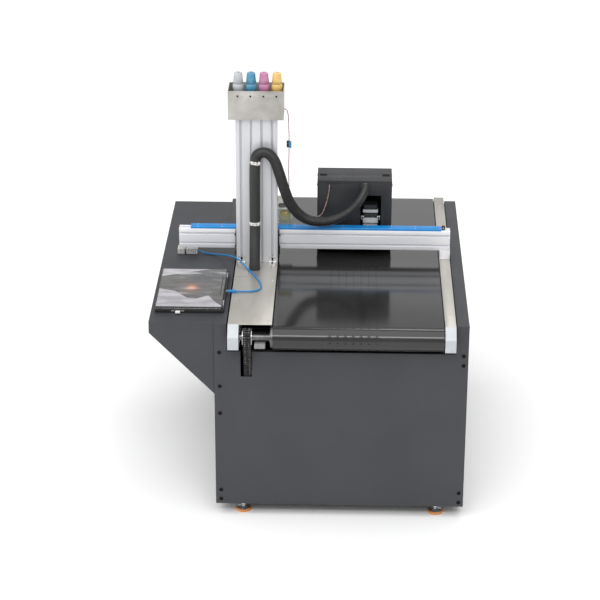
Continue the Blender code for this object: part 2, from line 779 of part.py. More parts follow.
def make_bottles():
    floor = TRAY_LOW.z + TRAY_SHEET + GAP
    body = 0.0215
    neck = 0.0195
    cap = 0.0150
    shoulder = 1.532
    cap_bottom = 1.547
    profile = [(0, floor), (body - 0.001, floor), (body, floor + 0.002), (body, shoulder),
               (neck, shoulder + 0.008), (neck, cap_bottom), (cap, BOTTLE_TOP - 0.001),
               (cap - 0.001, BOTTLE_TOP), (0, BOTTLE_TOP)]
    for i, ink in enumerate(("grey", "cyan", "magenta", "yellow")):
        centre = (BOTTLE_X + i * BOTTLE_PITCH, BOTTLE_Y, 0)
        turned(f"ink_bottle_{ink}", profile, "Z", centre, f"ink_{ink}", steps=20)


# ---------------------------------------------------------------- carriage
def make_slider():
    """Rail block, carriage plate, motor shelf and two guide rods, as one welded slider."""
    front = 0.0343
    back = 0.0403
    rail_side = 0.0230
    groove_floor = 0.0287
    block_x = (0.187, 0.267)
    block_z = (0.879, 0.906)
    groove_z = (0.8861, 0.8989)
    plate_low = (0.157, front - 0.001, 0.856)
    plate_high = (0.297, back, SHELF_Z[1])
    block = [(rail_side, block_z[0]), (front, block_z[0]), (front, block_z[1]), (rail_side, block_z[1]),
             (rail_side, groove_z[1]), (groove_floor, groove_z[1]), (groove_floor, groove_z[0]),
             (rail_side, groove_z[0])]
    item = prism("slider_plate", block, "X", *block_x, "bright_steel")

    def shelf(work):
        half = NEMA_23 / 2
        add_box(work, (HEAD_X - half, back - 0.002, SHELF_Z[0]), (HEAD_X + half, HEAD_Y + half, SHELF_Z[1]))

    def rods(work):
        for side in ROD_SIDES:
            add_turned(work, rod(0.004, 0.822, 0.924), "Z", (HEAD_X + side, HEAD_Y, 0), 16)

    def screw_hole(work):
        add_turned(work, rod(0.0055, 0.9, 0.95), "Z", (HEAD_X, HEAD_Y, 0), 16)

    combine(item, cutter("slider_carriage_plate", lambda work: add_box(work, plate_low, plate_high)), "UNION")
    combine(item, cutter("slider_shelf", shelf), "UNION")
    combine(item, cutter("slider_rods", rods), "UNION")
    combine(item, cutter("slider_screw_hole", screw_hole), "DIFFERENCE")


def make_lift_drive():
    half = NEMA_23 / 2
    low = SHELF_Z[1] + GAP
    motor_top = 1.003
    screw_bottom = 0.8205
    box("z_motor", (HEAD_X - half, HEAD_Y - half, low), (HEAD_X + half, HEAD_Y + half, motor_top),
        "black_paint")
    turned("lead_screw", rod(0.004, screw_bottom, SHELF_Z[1]), "Z", (HEAD_X, HEAD_Y, 0), "bright_steel",
           steps=16)


def make_hood():
    beyond = 0.01
    window_low = (0.187, HOOD_LOW.y - beyond, 0.860)
    window_high = (0.268, HOOD_LOW.y + beyond, 1.049)
    wire_end = LOWER_WIRE_ROUTE[-1]
    inner_low = HOOD_LOW + Vector((HOOD_SHEET, HOOD_SHEET, -beyond))
    inner_high = HOOD_HIGH + Vector((-HOOD_SHEET, -HOOD_SHEET, beyond))
    item = box("hood", HOOD_LOW, HOOD_HIGH, "black_paint")
    cut(item, lambda work: add_box(work, inner_low, inner_high))

    def window(work):
        add_box(work, window_low, window_high)
        add_turned(work, rod(0.003, -beyond, beyond), "Y", (wire_end[0], HOOD_LOW.y, wire_end[2]), 12)

    combine(item, cutter("hood_window", window), "DIFFERENCE")


def make_hood_lid():
    low = Vector((HOOD_LOW.x, HOOD_LOW.y, HOOD_HIGH.z + GAP))
    high = Vector((HOOD_HIGH.x, HOOD_HIGH.y, 1.110))
    grip_width = 0.030
    grip_y = (0.110, 0.132)
    margin = 0.008
    beyond = 0.01
    item = box("hood_lid", low, high, "black_paint", origin=(0, HOOD_HIGH.y, low.z))

    def grips(work):
        for x in (low.x + margin, high.x - margin - grip_width):
            add_box(work, (x, grip_y[0], low.z - beyond), (x + grip_width, grip_y[1], high.z + beyond))

    cut(item, grips)


def make_print_head():
    """Head base plate with the print head through it and holes for the rods and screw, and the lamp."""
    plate_low = 0.824
    plate_top = 0.828
    item = box("print_head", (0.022, 0.063, plate_low), (0.305, 0.201, plate_top), "bright_steel")
    join(item, lambda work: add_box(work, (0.080, 0.100, 0.8175), (0.165, 0.180, 0.900)))

    def holes(work):
        for side in (0.0, *ROD_SIDES):
            add_turned(work, rod(0.0045, 0.80, 0.85), "Z", (HEAD_X + side, HEAD_Y, 0), 16)

    cut(item, holes)
    box("uv_lamp", (0.030, 0.090, plate_top + GAP), (0.066, 0.185, 0.905), "anodised_aluminium")


def make_gland():
    """Threaded gland on the hood's front, where the hose goes in."""
    dome = 0.0210
    nut = 0.0185
    length = 0.014
    profile = [(0, -length), (dome - 0.0015, -length), (dome, -length + 0.002), (dome, -0.005),
               (nut, -0.005), (nut, -GAP), (0, -GAP)]
    turned("hose_gland", profile, "Y", GLAND, "black_plastic")


# ---------------------------------------------------------------- laptop and cords
def make_laptop():
    seam = LAPTOP_HIGH.z - LID_THICKNESS
    box("laptop_base", LAPTOP_LOW, (LAPTOP_HIGH.x, LAPTOP_HIGH.y, seam - GAP), "black_plastic")
    hinge_x = LAPTOP_HIGH.x - 0.006
    box("laptop_lid", (LAPTOP_LOW.x, LAPTOP_LOW.y, seam + GAP), (hinge_x, LAPTOP_HIGH.y, LAPTOP_HIGH.z),
        "black_plastic", origin=(hinge_x, 0, LAPTOP_HIGH.z))
    dongle_x = (-0.497, -0.479)
    dongle_z = (0.8095, 0.8165)
    dongle_length = 0.018
    box("usb_dongle", (dongle_x[0], LAPTOP_LOW.y - dongle_length, dongle_z[0]),
        (dongle_x[1], LAPTOP_LOW.y - GAP, dongle_z[1]), "silver_plastic")


def make_usb_parts():
    box("usb_hub", (-0.534, 0.023, WALL_TOP + GAP), (-0.4535, 0.068, 0.827), "silver_plastic")
    box("usb_plug", (LAPTOP_HIGH.x + GAP, -0.3755, 0.8157), (-0.2805, -0.3625, 0.8235), "blue_cable")


def make_cords():
    cord("hose", HOSE_ROUTE, HOSE_DIAMETER, "black_sleeve", bevel_resolution=3)
    cord("usb_cable", USB_ROUTE, USB_DIAMETER, "blue_cable")
    cord("upper_wire", UPPER_WIRE_ROUTE, WIRE_DIAMETER, "wire_red")
    cord("lower_wire", LOWER_WIRE_ROUTE, WIRE_DIAMETER, "wire_red")
    box("wire_connector", (-0.1005, -0.049, 1.281), (-0.0815, -0.039, 1.310), "black_plastic")


def build():
    clear_scene()
    make_walls()
    make_front_panel()
    make_rear_panel()
    make_power_inlet()
    make_base_pan()
    make_console()
    make_cross_members()
    make_feet()
    make_control_box()
    make_rails()
    make_deck_strips()
    make_vacuum_table()
    make_belt()
    make_rollers()
    make_sprockets()
    make_chain()
    make_drive_motor()
    make_blower()
    make_column()
    make_beam()
    make_belt_cover()
    make_x_rail()
    make_x_drive()
    make_ink_tray()
    make_bottles()
    make_slider()
    make_lift_drive()
    make_hood()
    make_hood_lid()
    make_print_head()
    make_gland()
    make_laptop()
    make_usb_parts()
    make_cords()


build()
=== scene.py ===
"""Looks of the belt-fed flatbed UV printer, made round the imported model.

Frame: metres, +Z up, +Y to the rear, +X to the operator's right, origin on the floor at the
centre of the plan. The camera and the cords come first, then the parts from the cabinet up.
"""

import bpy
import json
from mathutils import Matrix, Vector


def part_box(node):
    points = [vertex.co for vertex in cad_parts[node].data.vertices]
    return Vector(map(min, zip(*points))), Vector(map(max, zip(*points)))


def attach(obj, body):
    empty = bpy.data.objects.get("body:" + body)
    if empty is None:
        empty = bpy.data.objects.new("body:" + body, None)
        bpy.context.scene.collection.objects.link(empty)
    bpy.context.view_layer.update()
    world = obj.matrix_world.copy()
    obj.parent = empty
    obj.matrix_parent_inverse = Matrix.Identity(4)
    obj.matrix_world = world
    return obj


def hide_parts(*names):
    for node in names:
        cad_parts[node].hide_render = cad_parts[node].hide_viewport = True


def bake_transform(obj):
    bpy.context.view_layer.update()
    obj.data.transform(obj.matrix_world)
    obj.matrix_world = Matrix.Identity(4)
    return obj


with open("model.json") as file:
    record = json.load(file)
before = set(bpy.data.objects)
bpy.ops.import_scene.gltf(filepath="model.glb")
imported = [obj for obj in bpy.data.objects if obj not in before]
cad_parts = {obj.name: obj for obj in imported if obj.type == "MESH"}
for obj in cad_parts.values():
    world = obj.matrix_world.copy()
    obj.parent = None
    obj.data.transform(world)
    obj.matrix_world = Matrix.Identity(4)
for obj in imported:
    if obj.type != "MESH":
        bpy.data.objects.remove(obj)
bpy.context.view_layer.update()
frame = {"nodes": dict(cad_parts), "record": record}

import json
import math

import bmesh
import bpy
from mathutils import Euler, Matrix, Vector, noise

BODY_OF = {node: body for body, nodes in frame["record"]["behaviour"]["bodies"].items() for node in nodes}

# ---------------------------------------------------------------- camera and studio
CAMERA_PLACE = (0.1418, -7.5411, 3.9658)
CAMERA_DOWN = 23.898
CAMERA_YAW = 1.443
CAMERA_ROLL = 0.171
LENS = 124.23
FLOOR_REACH = 40.0
WORLD_STRENGTH = 0.55
SKY_STRENGTH = 1.9
SKY_SPREAD = 75

# ---------------------------------------------------------------- cords, as in the CAD
HOSE_DIAMETER = 0.042
HOSE_ROUTE = [
    (-0.221, -0.140, 0.8154), (-0.221, -0.140, 0.840), (-0.221, -0.126, 0.890),
    (-0.221, -0.107, 0.945), (-0.221, -0.098, 1.000), (-0.221, -0.096, 1.080),
    (-0.221, -0.096, 1.170), (-0.220, -0.098, 1.220), (-0.2155, -0.101, 1.262),
    (-0.196, -0.104, 1.281), (-0.1675, -0.105, 1.278), (-0.144, -0.103, 1.249),
    (-0.124, -0.099, 1.190), (-0.106, -0.090, 1.125), (-0.086, -0.074, 1.066),
    (-0.053, -0.056, 1.014), (-0.012, -0.042, 0.983), (0.032, -0.034, 0.974),
    (0.074, -0.030, 0.978), (0.113, -0.028, 0.994), (0.150, -0.026, 1.020),
    (0.181, -0.018, 1.053), (0.199, 0.004, 1.078), (0.204, 0.026, 1.086),
    (0.204, 0.0437, 1.086),
]
USB_DIAMETER = 0.006
USB_ROUTE = [
    (-0.4532, 0.034, 0.8140), (-0.443, 0.034, 0.8140), (-0.424, 0.0275, 0.8098),
    (-0.395, 0.021, 0.8087), (-0.371, 0.005, 0.8135), (-0.345, -0.018, 0.8215),
    (-0.319, -0.048, 0.8295), (-0.2945, -0.080, 0.8335), (-0.2725, -0.109, 0.8290),
    (-0.2526, -0.142, 0.8208), (-0.231, -0.186, 0.8187), (-0.208, -0.238, 0.8185),
    (-0.191, -0.296, 0.8185), (-0.189, -0.333, 0.8185), (-0.203, -0.356, 0.8185),
    (-0.228, -0.3655, 0.8190), (-0.256, -0.369, 0.8196), (-0.2802, -0.369, 0.8196),
]
WIRE_DIAMETER = 0.0036
UPPER_WIRE_ROUTE = [
    (-0.1092, -0.044, 1.437), (-0.104, -0.044, 1.437), (-0.097, -0.044, 1.428),
    (-0.093, -0.044, 1.400), (-0.092, -0.044, 1.365), (-0.091, -0.044, 1.3303),
    (-0.091, -0.044, 1.3103),
]
LOWER_WIRE_ROUTE = [
    (-0.091, -0.044, 1.2807), (-0.091, -0.044, 1.262), (-0.092, -0.040, 1.210),
    (-0.092, -0.033, 1.150), (-0.089, -0.022, 1.090), (-0.076, -0.008, 1.040),
    (-0.050, 0.004, 1.003), (-0.018, 0.012, 0.980), (0.012, 0.018, 0.972),
    (0.035, 0.026, 0.982), (0.048, 0.033, 1.010), (0.058, 0.038, 1.045),
    (0.0635, 0.043, 1.078), (0.064, 0.050, 1.0955), (0.064, 0.0575, 1.0955),
]

# ---------------------------------------------------------------- conveyor sizes
BELT_X = (-0.131, 0.497)
BELT_RADIUS = 0.045
BELT_THICKNESS = 0.004
ROLLER_Y = 0.655
ROLLER_Z = 0.762
HOLE_FIRST_X = 0.078
HOLE_COLUMNS = 7
HOLE_PITCH = 0.0287
HOLE_RADIUS = 0.0025
SPROCKET_X = -0.2255
SPROCKET_HALF = 0.0185
SPROCKET_RADIUS = 0.0315
MOTOR_Y = -0.557
MOTOR_Z = 0.505
CHAIN_RADIUS = 0.0313
CHAIN_LINKS = 78
NEMA_HALF = 0.0285
NEMA_BOLT = 0.0236
# Front band and rear wedge of the laptop film, painted pale as a reflection of the lights.
FILM_REFLECTION_BAND = ((0.0, 0.47), (0.25, 0.40), (0.45, 0.23), (0.60, 0.21), (0.78, 0.29), (0.90, 0.12), (1.0, 0.03))
FILM_REFLECTION_WEDGE = (0.80, 0.27)


# ---------------------------------------------------------------- materials
def plain(name, colour, roughness, metallic=0.0, **sockets):
    """Material whose even values sit on the shader's own sockets."""
    made = bpy.data.materials.new(name)
    made.use_nodes = True
    shader = made.node_tree.nodes["Principled BSDF"]
    shader.inputs["Base Color"].default_value = (*colour, 1.0)
    shader.inputs["Roughness"].default_value = roughness
    shader.inputs["Metallic"].default_value = metallic
    for socket, value in sockets.items():
        shader.inputs[socket.replace("_", " ")].default_value = value
    return made


def link(made, source, target):
    made.node_tree.links.new(source, target)


def grey_noise(made, size, stretch=(1, 1, 1), detail=3.0):
    """Noise in the piece's own place, with features of a size in metres, longer along a stretched axis."""
    nodes = made.node_tree.nodes
    place = nodes.new("ShaderNodeTexCoord")
    scaling = nodes.new("ShaderNodeMapping")
    scaling.inputs["Scale"].default_value = [1 / (size * s) for s in stretch]
    texture = nodes.new("ShaderNodeTexNoise")
    texture.inputs["Scale"].default_value = 1.0
    texture.inputs["Detail"].default_value = detail
    link(made, place.outputs["Object"], scaling.inputs["Vector"])
    link(made, scaling.outputs["Vector"], texture.inputs["Vector"])
    return texture.outputs["Fac"]


def ramp(made, value, stops):
    """Colour ramp through (place, colour) stops."""
    node = made.node_tree.nodes.new("ShaderNodeValToRGB")
    elements = node.color_ramp.elements
    while len(elements) < len(stops):
        elements.new(0.5)
    for element, (position, colour) in zip(elements, stops):
        element.position = position
        element.color = (*colour, 1.0)
    link(made, value, node.inputs["Fac"])
    return node.outputs["Color"]


def spread(made, value, low, high):
    """Maps noise around the middle to a range of numbers."""
    node = made.node_tree.nodes.new("ShaderNodeMapRange")
    node.inputs["From Min"].default_value = 0.3
    node.inputs["From Max"].default_value = 0.7
    node.inputs["To Min"].default_value = low
    node.inputs["To Max"].default_value = high
    link(made, value, node.inputs["Value"])
    return node.outputs["Result"]


def bump(made, value, height, strength=1.0):
    node = made.node_tree.nodes.new("ShaderNodeBump")
    node.inputs["Distance"].default_value = height
    node.inputs["Strength"].default_value = strength
    link(made, value, node.inputs["Height"])
    link(made, node.outputs["Normal"], made.node_tree.nodes["Principled BSDF"].inputs["Normal"])


def surface(name, dark, light, rough, metallic=0.0, patch=0.06, grain=0.0008, height=0.00002,
            stretch=(1, 1, 1), patch_stretch=(1, 1, 1), **sockets):
    """Everyday finish: patches between two colours, uneven gloss and a fine grain in the relief."""
    middle = [(a + b) / 2 for a, b in zip(dark, light)]
    made = plain(name, middle, sum(rough) / 2, metallic, **sockets)
    shader = made.node_tree.nodes["Principled BSDF"]
    patches = grey_noise(made, patch, patch_stretch, 4.0)
    link(made, ramp(made, patches, [(0.35, dark), (0.65, light)]), shader.inputs["Base Color"])
    wear = grey_noise(made, patch * 0.45, patch_stretch, 6.0)
    link(made, spread(made, wear, *rough), shader.inputs["Roughness"])
    bump(made, grey_noise(made, grain, stretch, 2.0), height)
    return made


def both(value):
    return (value, value, value)


CHARCOAL = surface("charcoal_powder_coat", (0.034, 0.0355, 0.0405), (0.038, 0.0400, 0.0455), (0.50, 0.58),
                   patch=0.22, grain=0.0014, height=0.00003)
BLACK_COAT = surface("black_powder_coat", (0.018, 0.019, 0.021), (0.022, 0.023, 0.026), (0.48, 0.56),
                     patch=0.10, grain=0.0012, height=0.00003)
ALUMINIUM_X = surface("aluminium_drawn_along_x", (0.80, 0.805, 0.84), (0.86, 0.865, 0.90), (0.36, 0.46),
                      0.30,
                      patch=0.05, grain=0.0007, height=0.000008, stretch=(120, 1, 1),
                      patch_stretch=(12, 1, 1))
ALUMINIUM_Z = surface("aluminium_drawn_along_z", (0.62, 0.63, 0.655), (0.68, 0.69, 0.71), (0.42, 0.50),
                      0.35,
                      patch=0.05, grain=0.0007, height=0.000008, stretch=(1, 1, 120),
                      patch_stretch=(1, 1, 12))
END_GREY = surface("satin_grey_anodised", (0.45, 0.475, 0.50), (0.49, 0.515, 0.54), (0.42, 0.50), 0.15,
                   patch=0.05, grain=0.0007, height=0.000006)
STAINLESS = surface("brushed_stainless", (0.48, 0.460, 0.420), (0.56, 0.540, 0.500), (0.32, 0.42), 0.75,
                    patch=0.09, grain=0.0006, height=0.000005, stretch=(1, 90, 1), patch_stretch=(1, 3, 1))
TRAY_STEEL = surface("stained_tray_steel", (0.38, 0.365, 0.34), (0.56, 0.545, 0.52), (0.32, 0.42), 0.75,
                     patch=0.10, grain=0.0006, height=0.000006, stretch=(60, 60, 1))
BELT_BLACK = surface("belt_rubber", both(0.019), both(0.023), (0.10, 0.14), patch=0.30, grain=0.0011,
                     height=0.000006)
STEEL = surface("bright_steel", both(0.58), both(0.66), (0.22, 0.32), 0.9, patch=0.02, grain=0.0005,
                height=0.000006)
DARK_STEEL = surface("dark_turned_steel", both(0.10), both(0.15), (0.26, 0.36), 0.9, patch=0.02,
                     grain=0.0005,
                     height=0.000008, stretch=(1, 40, 40))
ZINC = surface("zinc_bracket", (0.56, 0.57, 0.53), (0.66, 0.66, 0.61), (0.34, 0.46), 0.6, patch=0.02,
               grain=0.0006, height=0.000008)
CHAIN_BLACK = surface("oiled_chain", both(0.008), both(0.018), (0.30, 0.44), 0.4, patch=0.01)
CHAIN_ROLLER = surface("chain_roller_steel", both(0.02), both(0.16), (0.26, 0.42), 0.9, patch=0.016)
BRASS = surface("brass", (0.48, 0.42, 0.17), (0.60, 0.54, 0.24), (0.26, 0.38), 0.8, patch=0.01)
BLUE = surface("blue_cover", (0.003, 0.190, 0.52), (0.006, 0.235, 0.60), (0.34, 0.42), patch=0.08,
               grain=0.0009, height=0.00001, stretch=(20, 1, 1))
BLUE_CABLE = surface("blue_cable_jacket", (0.005, 0.17, 0.44), (0.009, 0.22, 0.52), (0.30, 0.42),
                     patch=0.02)
BLACK_PLASTIC = surface("black_plastic", both(0.014), both(0.020), (0.34, 0.46), patch=0.02)
GLAND_BLACK = surface("gland_plastic", both(0.030), both(0.042), (0.26, 0.34), patch=0.02)
GLOSS_BLACK = surface("gloss_black_plastic", both(0.010), both(0.014), (0.12, 0.20), patch=0.03,
                      height=0.000004)
KEY_BLACK = surface("key_plastic", both(0.022), both(0.030), (0.42, 0.55), patch=0.01)
PALE_PLASTIC = surface("pale_plastic", (0.66, 0.65, 0.62), (0.76, 0.75, 0.72), (0.30, 0.42), patch=0.015)
GREY_PLASTIC = surface("shaded_grey_plastic", both(0.20), both(0.26), (0.36, 0.48), patch=0.01)
WIRE_RED = surface("red_wire", (0.16, 0.050, 0.050), (0.38, 0.170, 0.16), (0.42, 0.52), patch=0.012)
WIRE_PALE = surface("pale_wire", (0.30, 0.21, 0.20), (0.46, 0.36, 0.34), (0.42, 0.52), patch=0.012)
SCREW_BLACK = surface("black_oxide_screw", both(0.004), both(0.008), (0.50, 0.62), patch=0.004,
                      Specular_IOR_Level=0.15)
LAMINATION = surface("dark_laminations", both(0.020), both(0.040), (0.38, 0.52), 0.4, patch=0.01,
                     grain=0.0005, height=0.00006, stretch=(60, 60, 1))
LAMINATION_Y = surface("dark_laminations_along_y", both(0.020), both(0.040), (0.38, 0.52), 0.4, patch=0.01,
                       grain=0.0005, height=0.00006, stretch=(60, 1, 60))
ORANGE_RUBBER = surface("orange_foot_rubber", (0.60, 0.21, 0.045), (0.76, 0.32, 0.09), (0.48, 0.62),
                        patch=0.012)
SOCKET_DARK = plain("socket_shadow", both(0.006), 0.7)
INKS = {
    "grey": ((0.46, 0.48, 0.50), (0.56, 0.58, 0.60)),
    "cyan": ((0.070, 0.27, 0.43), (0.11, 0.34, 0.49)),
    "magenta": ((0.52, 0.21, 0.37), (0.60, 0.28, 0.43)),
    "yellow": ((0.74, 0.49, 0.14), (0.82, 0.57, 0.20)),
}


def woven_sleeve():
    """Braided sleeve: two crossing sets of strands, drawn along the tube's own length and girth, with their
    crests painted lighter as highlights.
    """
    made = plain("braided_sleeve", both(0.016), 0.55)
    nodes = made.node_tree.nodes
    place = nodes.new("ShaderNodeUVMap")
    place.uv_map = "along"
    heights = []
    for lean in (1, -1):
        turned = nodes.new("ShaderNodeMapping")
        turned.inputs["Rotation"].default_value = (0, 0, math.radians(45 * lean))
        wave = nodes.new("ShaderNodeTexWave")
        wave.inputs["Scale"].default_value = 60.0
        link(made, place.outputs["UV"], turned.inputs["Vector"])
        link(made, turned.outputs["Vector"], wave.inputs["Vector"])
        heights.append(wave.outputs["Fac"])
    top = nodes.new("ShaderNodeMath")
    top.operation = "MAXIMUM"
    link(made, heights[0], top.inputs[0])
    link(made, heights[1], top.inputs[1])
    # The lightest stop at each strand's crest is a painted highlight on the threads.
    strands = ramp(made, top.outputs["Value"],
                   [(0.2, both(0.004)), (0.80, both(0.012)), (1.0, both(0.060))])
    link(made, strands, nodes["Principled BSDF"].inputs["Base Color"])
    bump(made, top.outputs["Value"], 0.0006)
    return made


def printed_film_with_painted_light(centre, reach):
    """Glossy packing film: a dark waved print with a soft orange glow and painted highlight streaks, and a
    painted pale reflection where the zone is 1.
    """
    made = plain("laptop_film", both(0.06), 0.20, Coat_Weight=0.25, Coat_Roughness=0.08)
    nodes = made.node_tree.nodes
    place = nodes.new("ShaderNodeTexCoord")
    shift = nodes.new("ShaderNodeMapping")
    shift.inputs["Location"].default_value = [-c / r for c, r in zip(centre, reach)]
    shift.inputs["Scale"].default_value = [1 / r for r in reach]
    ball = nodes.new("ShaderNodeTexGradient")
    ball.gradient_type = "SPHERICAL"
    link(made, place.outputs["Object"], shift.inputs["Vector"])
    link(made, shift.outputs["Vector"], ball.inputs["Vector"])
    glow = ramp(made, ball.outputs["Fac"],
                [(0.15, (0, 0, 0)), (0.62, (0.050, 0.010, 0.004)), (1.0, (0.46, 0.13, 0.04))])
    # Waves of the dark print; the palest stop paints highlight streaks along the film's wrinkles.
    print_waves_and_painted_glints = ramp(made, grey_noise(made, 0.060, (2.2, 0.5, 1), 5.0),
                 [(0.38, (0.060, 0.058, 0.056)), (0.58, (0.095, 0.092, 0.088)),
                  (0.68, (0.34, 0.335, 0.33))])
    dark = mixed_colour(made, "ADD", 1.0, print_waves_and_painted_glints, glow)
    # Pale colour painted as a reflection of the lights on the front band and the rear wedge.
    pale = ramp(made, grey_noise(made, 0.050, (1.5, 0.5, 1), 4.0),
                [(0.35, (0.28, 0.27, 0.29)), (0.65, (0.44, 0.43, 0.46))])
    zone = nodes.new("ShaderNodeAttribute")
    zone.attribute_name = "zone"
    border = ramp(made, zone.outputs["Fac"], [(0.47, both(0)), (0.53, both(1))])
    link(made, mixed_colour(made, "MIX", border, dark, pale), nodes["Principled BSDF"].inputs["Base Color"])
    bump(made, grey_noise(made, 0.020, (1, 1, 1), 2.0), 0.0005)
    return made


def mixed_colour(made, kind, share, first, second):
    node = made.node_tree.nodes.new("ShaderNodeMix")
    node.data_type = "RGBA"
    node.blend_type = kind
    if isinstance(share, float):
        node.inputs["Factor"].default_value = share
    else:
        link(made, share, node.inputs["Factor"])
    link(made, first, node.inputs["A"])
    link(made, second, node.inputs["B"])
    return node.outputs["Result"]


# ---------------------------------------------------------------- mesh helpers
def piece(name, work, look, body, stands_for=(), edge=0.0, rounds=2, smooth=35, blended=False):
    """Turns a bmesh drawn in the shared frame into a piece that rides on a body, or is left to be blended."""
    bmesh.ops.recalc_face_normals(work, faces=work.faces)
    if edge:
        round_edges(work, edge, rounds)
    mesh = bpy.data.meshes.new(name)
    work.to_mesh(mesh)
    work.free()
    mesh.shade_smooth()
    mesh.set_sharp_from_angle(angle=math.radians(smooth))
    for one in look if isinstance(look, list) else [look]:
        mesh.materials.append(one)
    made = bpy.data.objects.new(name, mesh)
    bpy.context.scene.collection.objects.link(made)
    if not blended:
        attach(made, body)
    if stands_for:
        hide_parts(*stands_for)
    return made


def weld(work, within=0.000005):
    """Joins corners that share a place."""
    bmesh.ops.remove_doubles(work, verts=work.verts, dist=within)


def middle_of(low, high):
    return [(a + b) / 2 for a, b in zip(low, high)]


def round_edges(work, width, rounds=2, angle=38):
    limit = math.radians(angle)
    sharp = [e for e in work.edges if len(e.link_faces) == 2 and e.calc_face_angle(0) > limit]
    bmesh.ops.bevel(work, geom=sharp, offset=width, segments=rounds, profile=0.5, affect="EDGES",
                    clamp_overlap=False)


def skin(node, look, edge=0.0008, rounds=2, extra=None):
    """The CAD node's own shape with clean faces and rounded edges, and optional added detail."""
    work = bmesh.new()
    work.from_mesh(frame["nodes"][node].data)
    weld(work)
    bmesh.ops.dissolve_limit(work, angle_limit=math.radians(0.6), verts=work.verts, edges=work.edges)
    bmesh.ops.recalc_face_normals(work, faces=work.faces)
    if edge:
        round_edges(work, edge, rounds)
    if extra:
        extra(work)
    return piece(f"{node}_look", work, look, BODY_OF[node], [node])


def add_box(work, low, high, edge=0.0, rounds=1):
    """Box between two corners; an edge width rounds it on the spot."""
    x, y, z = zip(low, high)
    corners = [work.verts.new((x[i], y[j], z[k])) for i in (0, 1) for j in (0, 1) for k in (0, 1)]
    sides = ((0, 1, 3, 2), (4, 6, 7, 5), (0, 4, 5, 1), (2, 3, 7, 6), (0, 2, 6, 4), (1, 5, 7, 3))
    faces = [work.faces.new([corners[i] for i in side]) for side in sides]
    if edge:
        edges = list(dict.fromkeys(e for f in faces for e in f.edges))
        bmesh.ops.bevel(work, geom=edges, offset=edge, segments=rounds, profile=0.5, affect="EDGES")


def add_turned(work, profile, centre, axis=(0, 0, 1), steps=24):
    """Turns (radius, height[, corners]) points round an axis; corners makes that ring a polygon."""
    turn = Vector((0, 0, 1)).rotation_difference(Vector(axis)).to_matrix()
    centre = Vector(centre)
    rings = []
    for radius, height, *corners in profile:
        if radius == 0:
            rings.append([work.verts.new(centre + turn @ Vector((0, 0, height)))])
            continue
        ring = []
        for i in range(steps):
            angle = math.tau * i / steps
            reach = radius
            if corners:
                sector = math.tau / corners[0]
                reach = radius * math.cos(sector / 2) / math.cos(angle % sector - sector / 2)
            spot = Vector((reach * math.cos(angle), reach * math.sin(angle), height))
            ring.append(work.verts.new(centre + turn @ spot))
        rings.append(ring)
    for first, second in zip(rings, rings[1:]):
        for i in range(steps):
            around = [first[i % len(first)], first[(i + 1) % len(first)],
                      second[(i + 1) % len(second)], second[i % len(second)]]
            corners = list(dict.fromkeys(around))
            if len(corners) > 2:
                work.faces.new(corners)


def add_screw(work, point, normal, radius=0.0065, height=0.0032):
    """Round button head with a six-sided socket, standing on a surface."""
    profile = [(0, 0), (radius, 0), (radius, height * 0.35), (radius * 0.88, height * 0.75),
               (radius * 0.66, height), (radius * 0.48, height, 6), (radius * 0.46, height * 0.3, 6),
               (0, height * 0.3)]
    add_turned(work, profile, point, normal)


def add_cap_screw(work, point, normal, radius=0.0045, height=0.005):
    """Cylinder head with a chamfer and a six-sided socket."""
    profile = [(0, 0), (radius, 0), (radius, height * 0.9), (radius * 0.9, height),
               (radius * 0.55, height, 6),
               (radius * 0.52, height * 0.4, 6), (0, height * 0.4)]
    add_turned(work, profile, point, normal)


def add_tube(work, points, radius, sides=16, cap=True):
    """Tube along a line; radius is a number or a function of the length so far. Its UV map is in metres."""
    along = work.loops.layers.uv.get("along") or work.loops.layers.uv.new("along")
    points = [Vector(p) for p in points]
    heading = (points[1] - points[0]).normalized()
    side = heading.orthogonal().normalized()
    travelled = 0.0
    rings = []
    for i, point in enumerate(points):
        before = points[max(i - 1, 0)]
        after = points[min(i + 1, len(points) - 1)]
        fresh = (after - before).normalized()
        side = (heading.rotation_difference(fresh) @ side)
        side = (side - fresh * side.dot(fresh)).normalized()
        heading = fresh
        other = heading.cross(side)
        travelled += (point - before).length
        reach = radius(travelled) if callable(radius) else radius
        ring = []
        for k in range(sides):
            angle = math.tau * k / sides
            ring.append(work.verts.new(point + reach * (side * math.cos(angle) + other * math.sin(angle))))
        rings.append((travelled, reach, ring))
    made = []
    for (from_s, reach, first), (to_s, _, second) in zip(rings, rings[1:]):
        for k in range(sides):
            nxt = (k + 1) % sides
            face = work.faces.new((first[k], first[nxt], second[nxt], second[k]))
            girth = math.tau * reach / sides
            for loop, spot in zip(face.loops, ((k * girth, from_s), ((k + 1) * girth, from_s),
                                               ((k + 1) * girth, to_s), (k * girth, to_s))):
                loop[along].uv = spot
            made.append((from_s, face))
    if cap:
        work.faces.new(rings[0][2])
        work.faces.new(rings[-1][2])
    return made


def smooth_line(route, step):
    """Catmull-Rom line through the route's points, at about the given step."""
    points = [Vector(p) for p in route]
    padded = [points[0] * 2 - points[1]] + points + [points[-1] * 2 - points[-2]]
    fine = [points[0]]
    for a, b, c, d in zip(padded, padded[1:], padded[2:], padded[3:]):
        pieces = max(1, round((c - b).length / step))
        for i in range(1, pieces + 1):
            t = i / pieces
            fine.append(0.5 * (2 * b + (c - a) * t + (2 * a - 5 * b + 4 * c - d) * t ** 2
                               + (3 * b - a - 3 * c + d) * t ** 3))
    return fine


def line_length(points):
    return sum((b - a).length for a, b in zip(points, points[1:]))


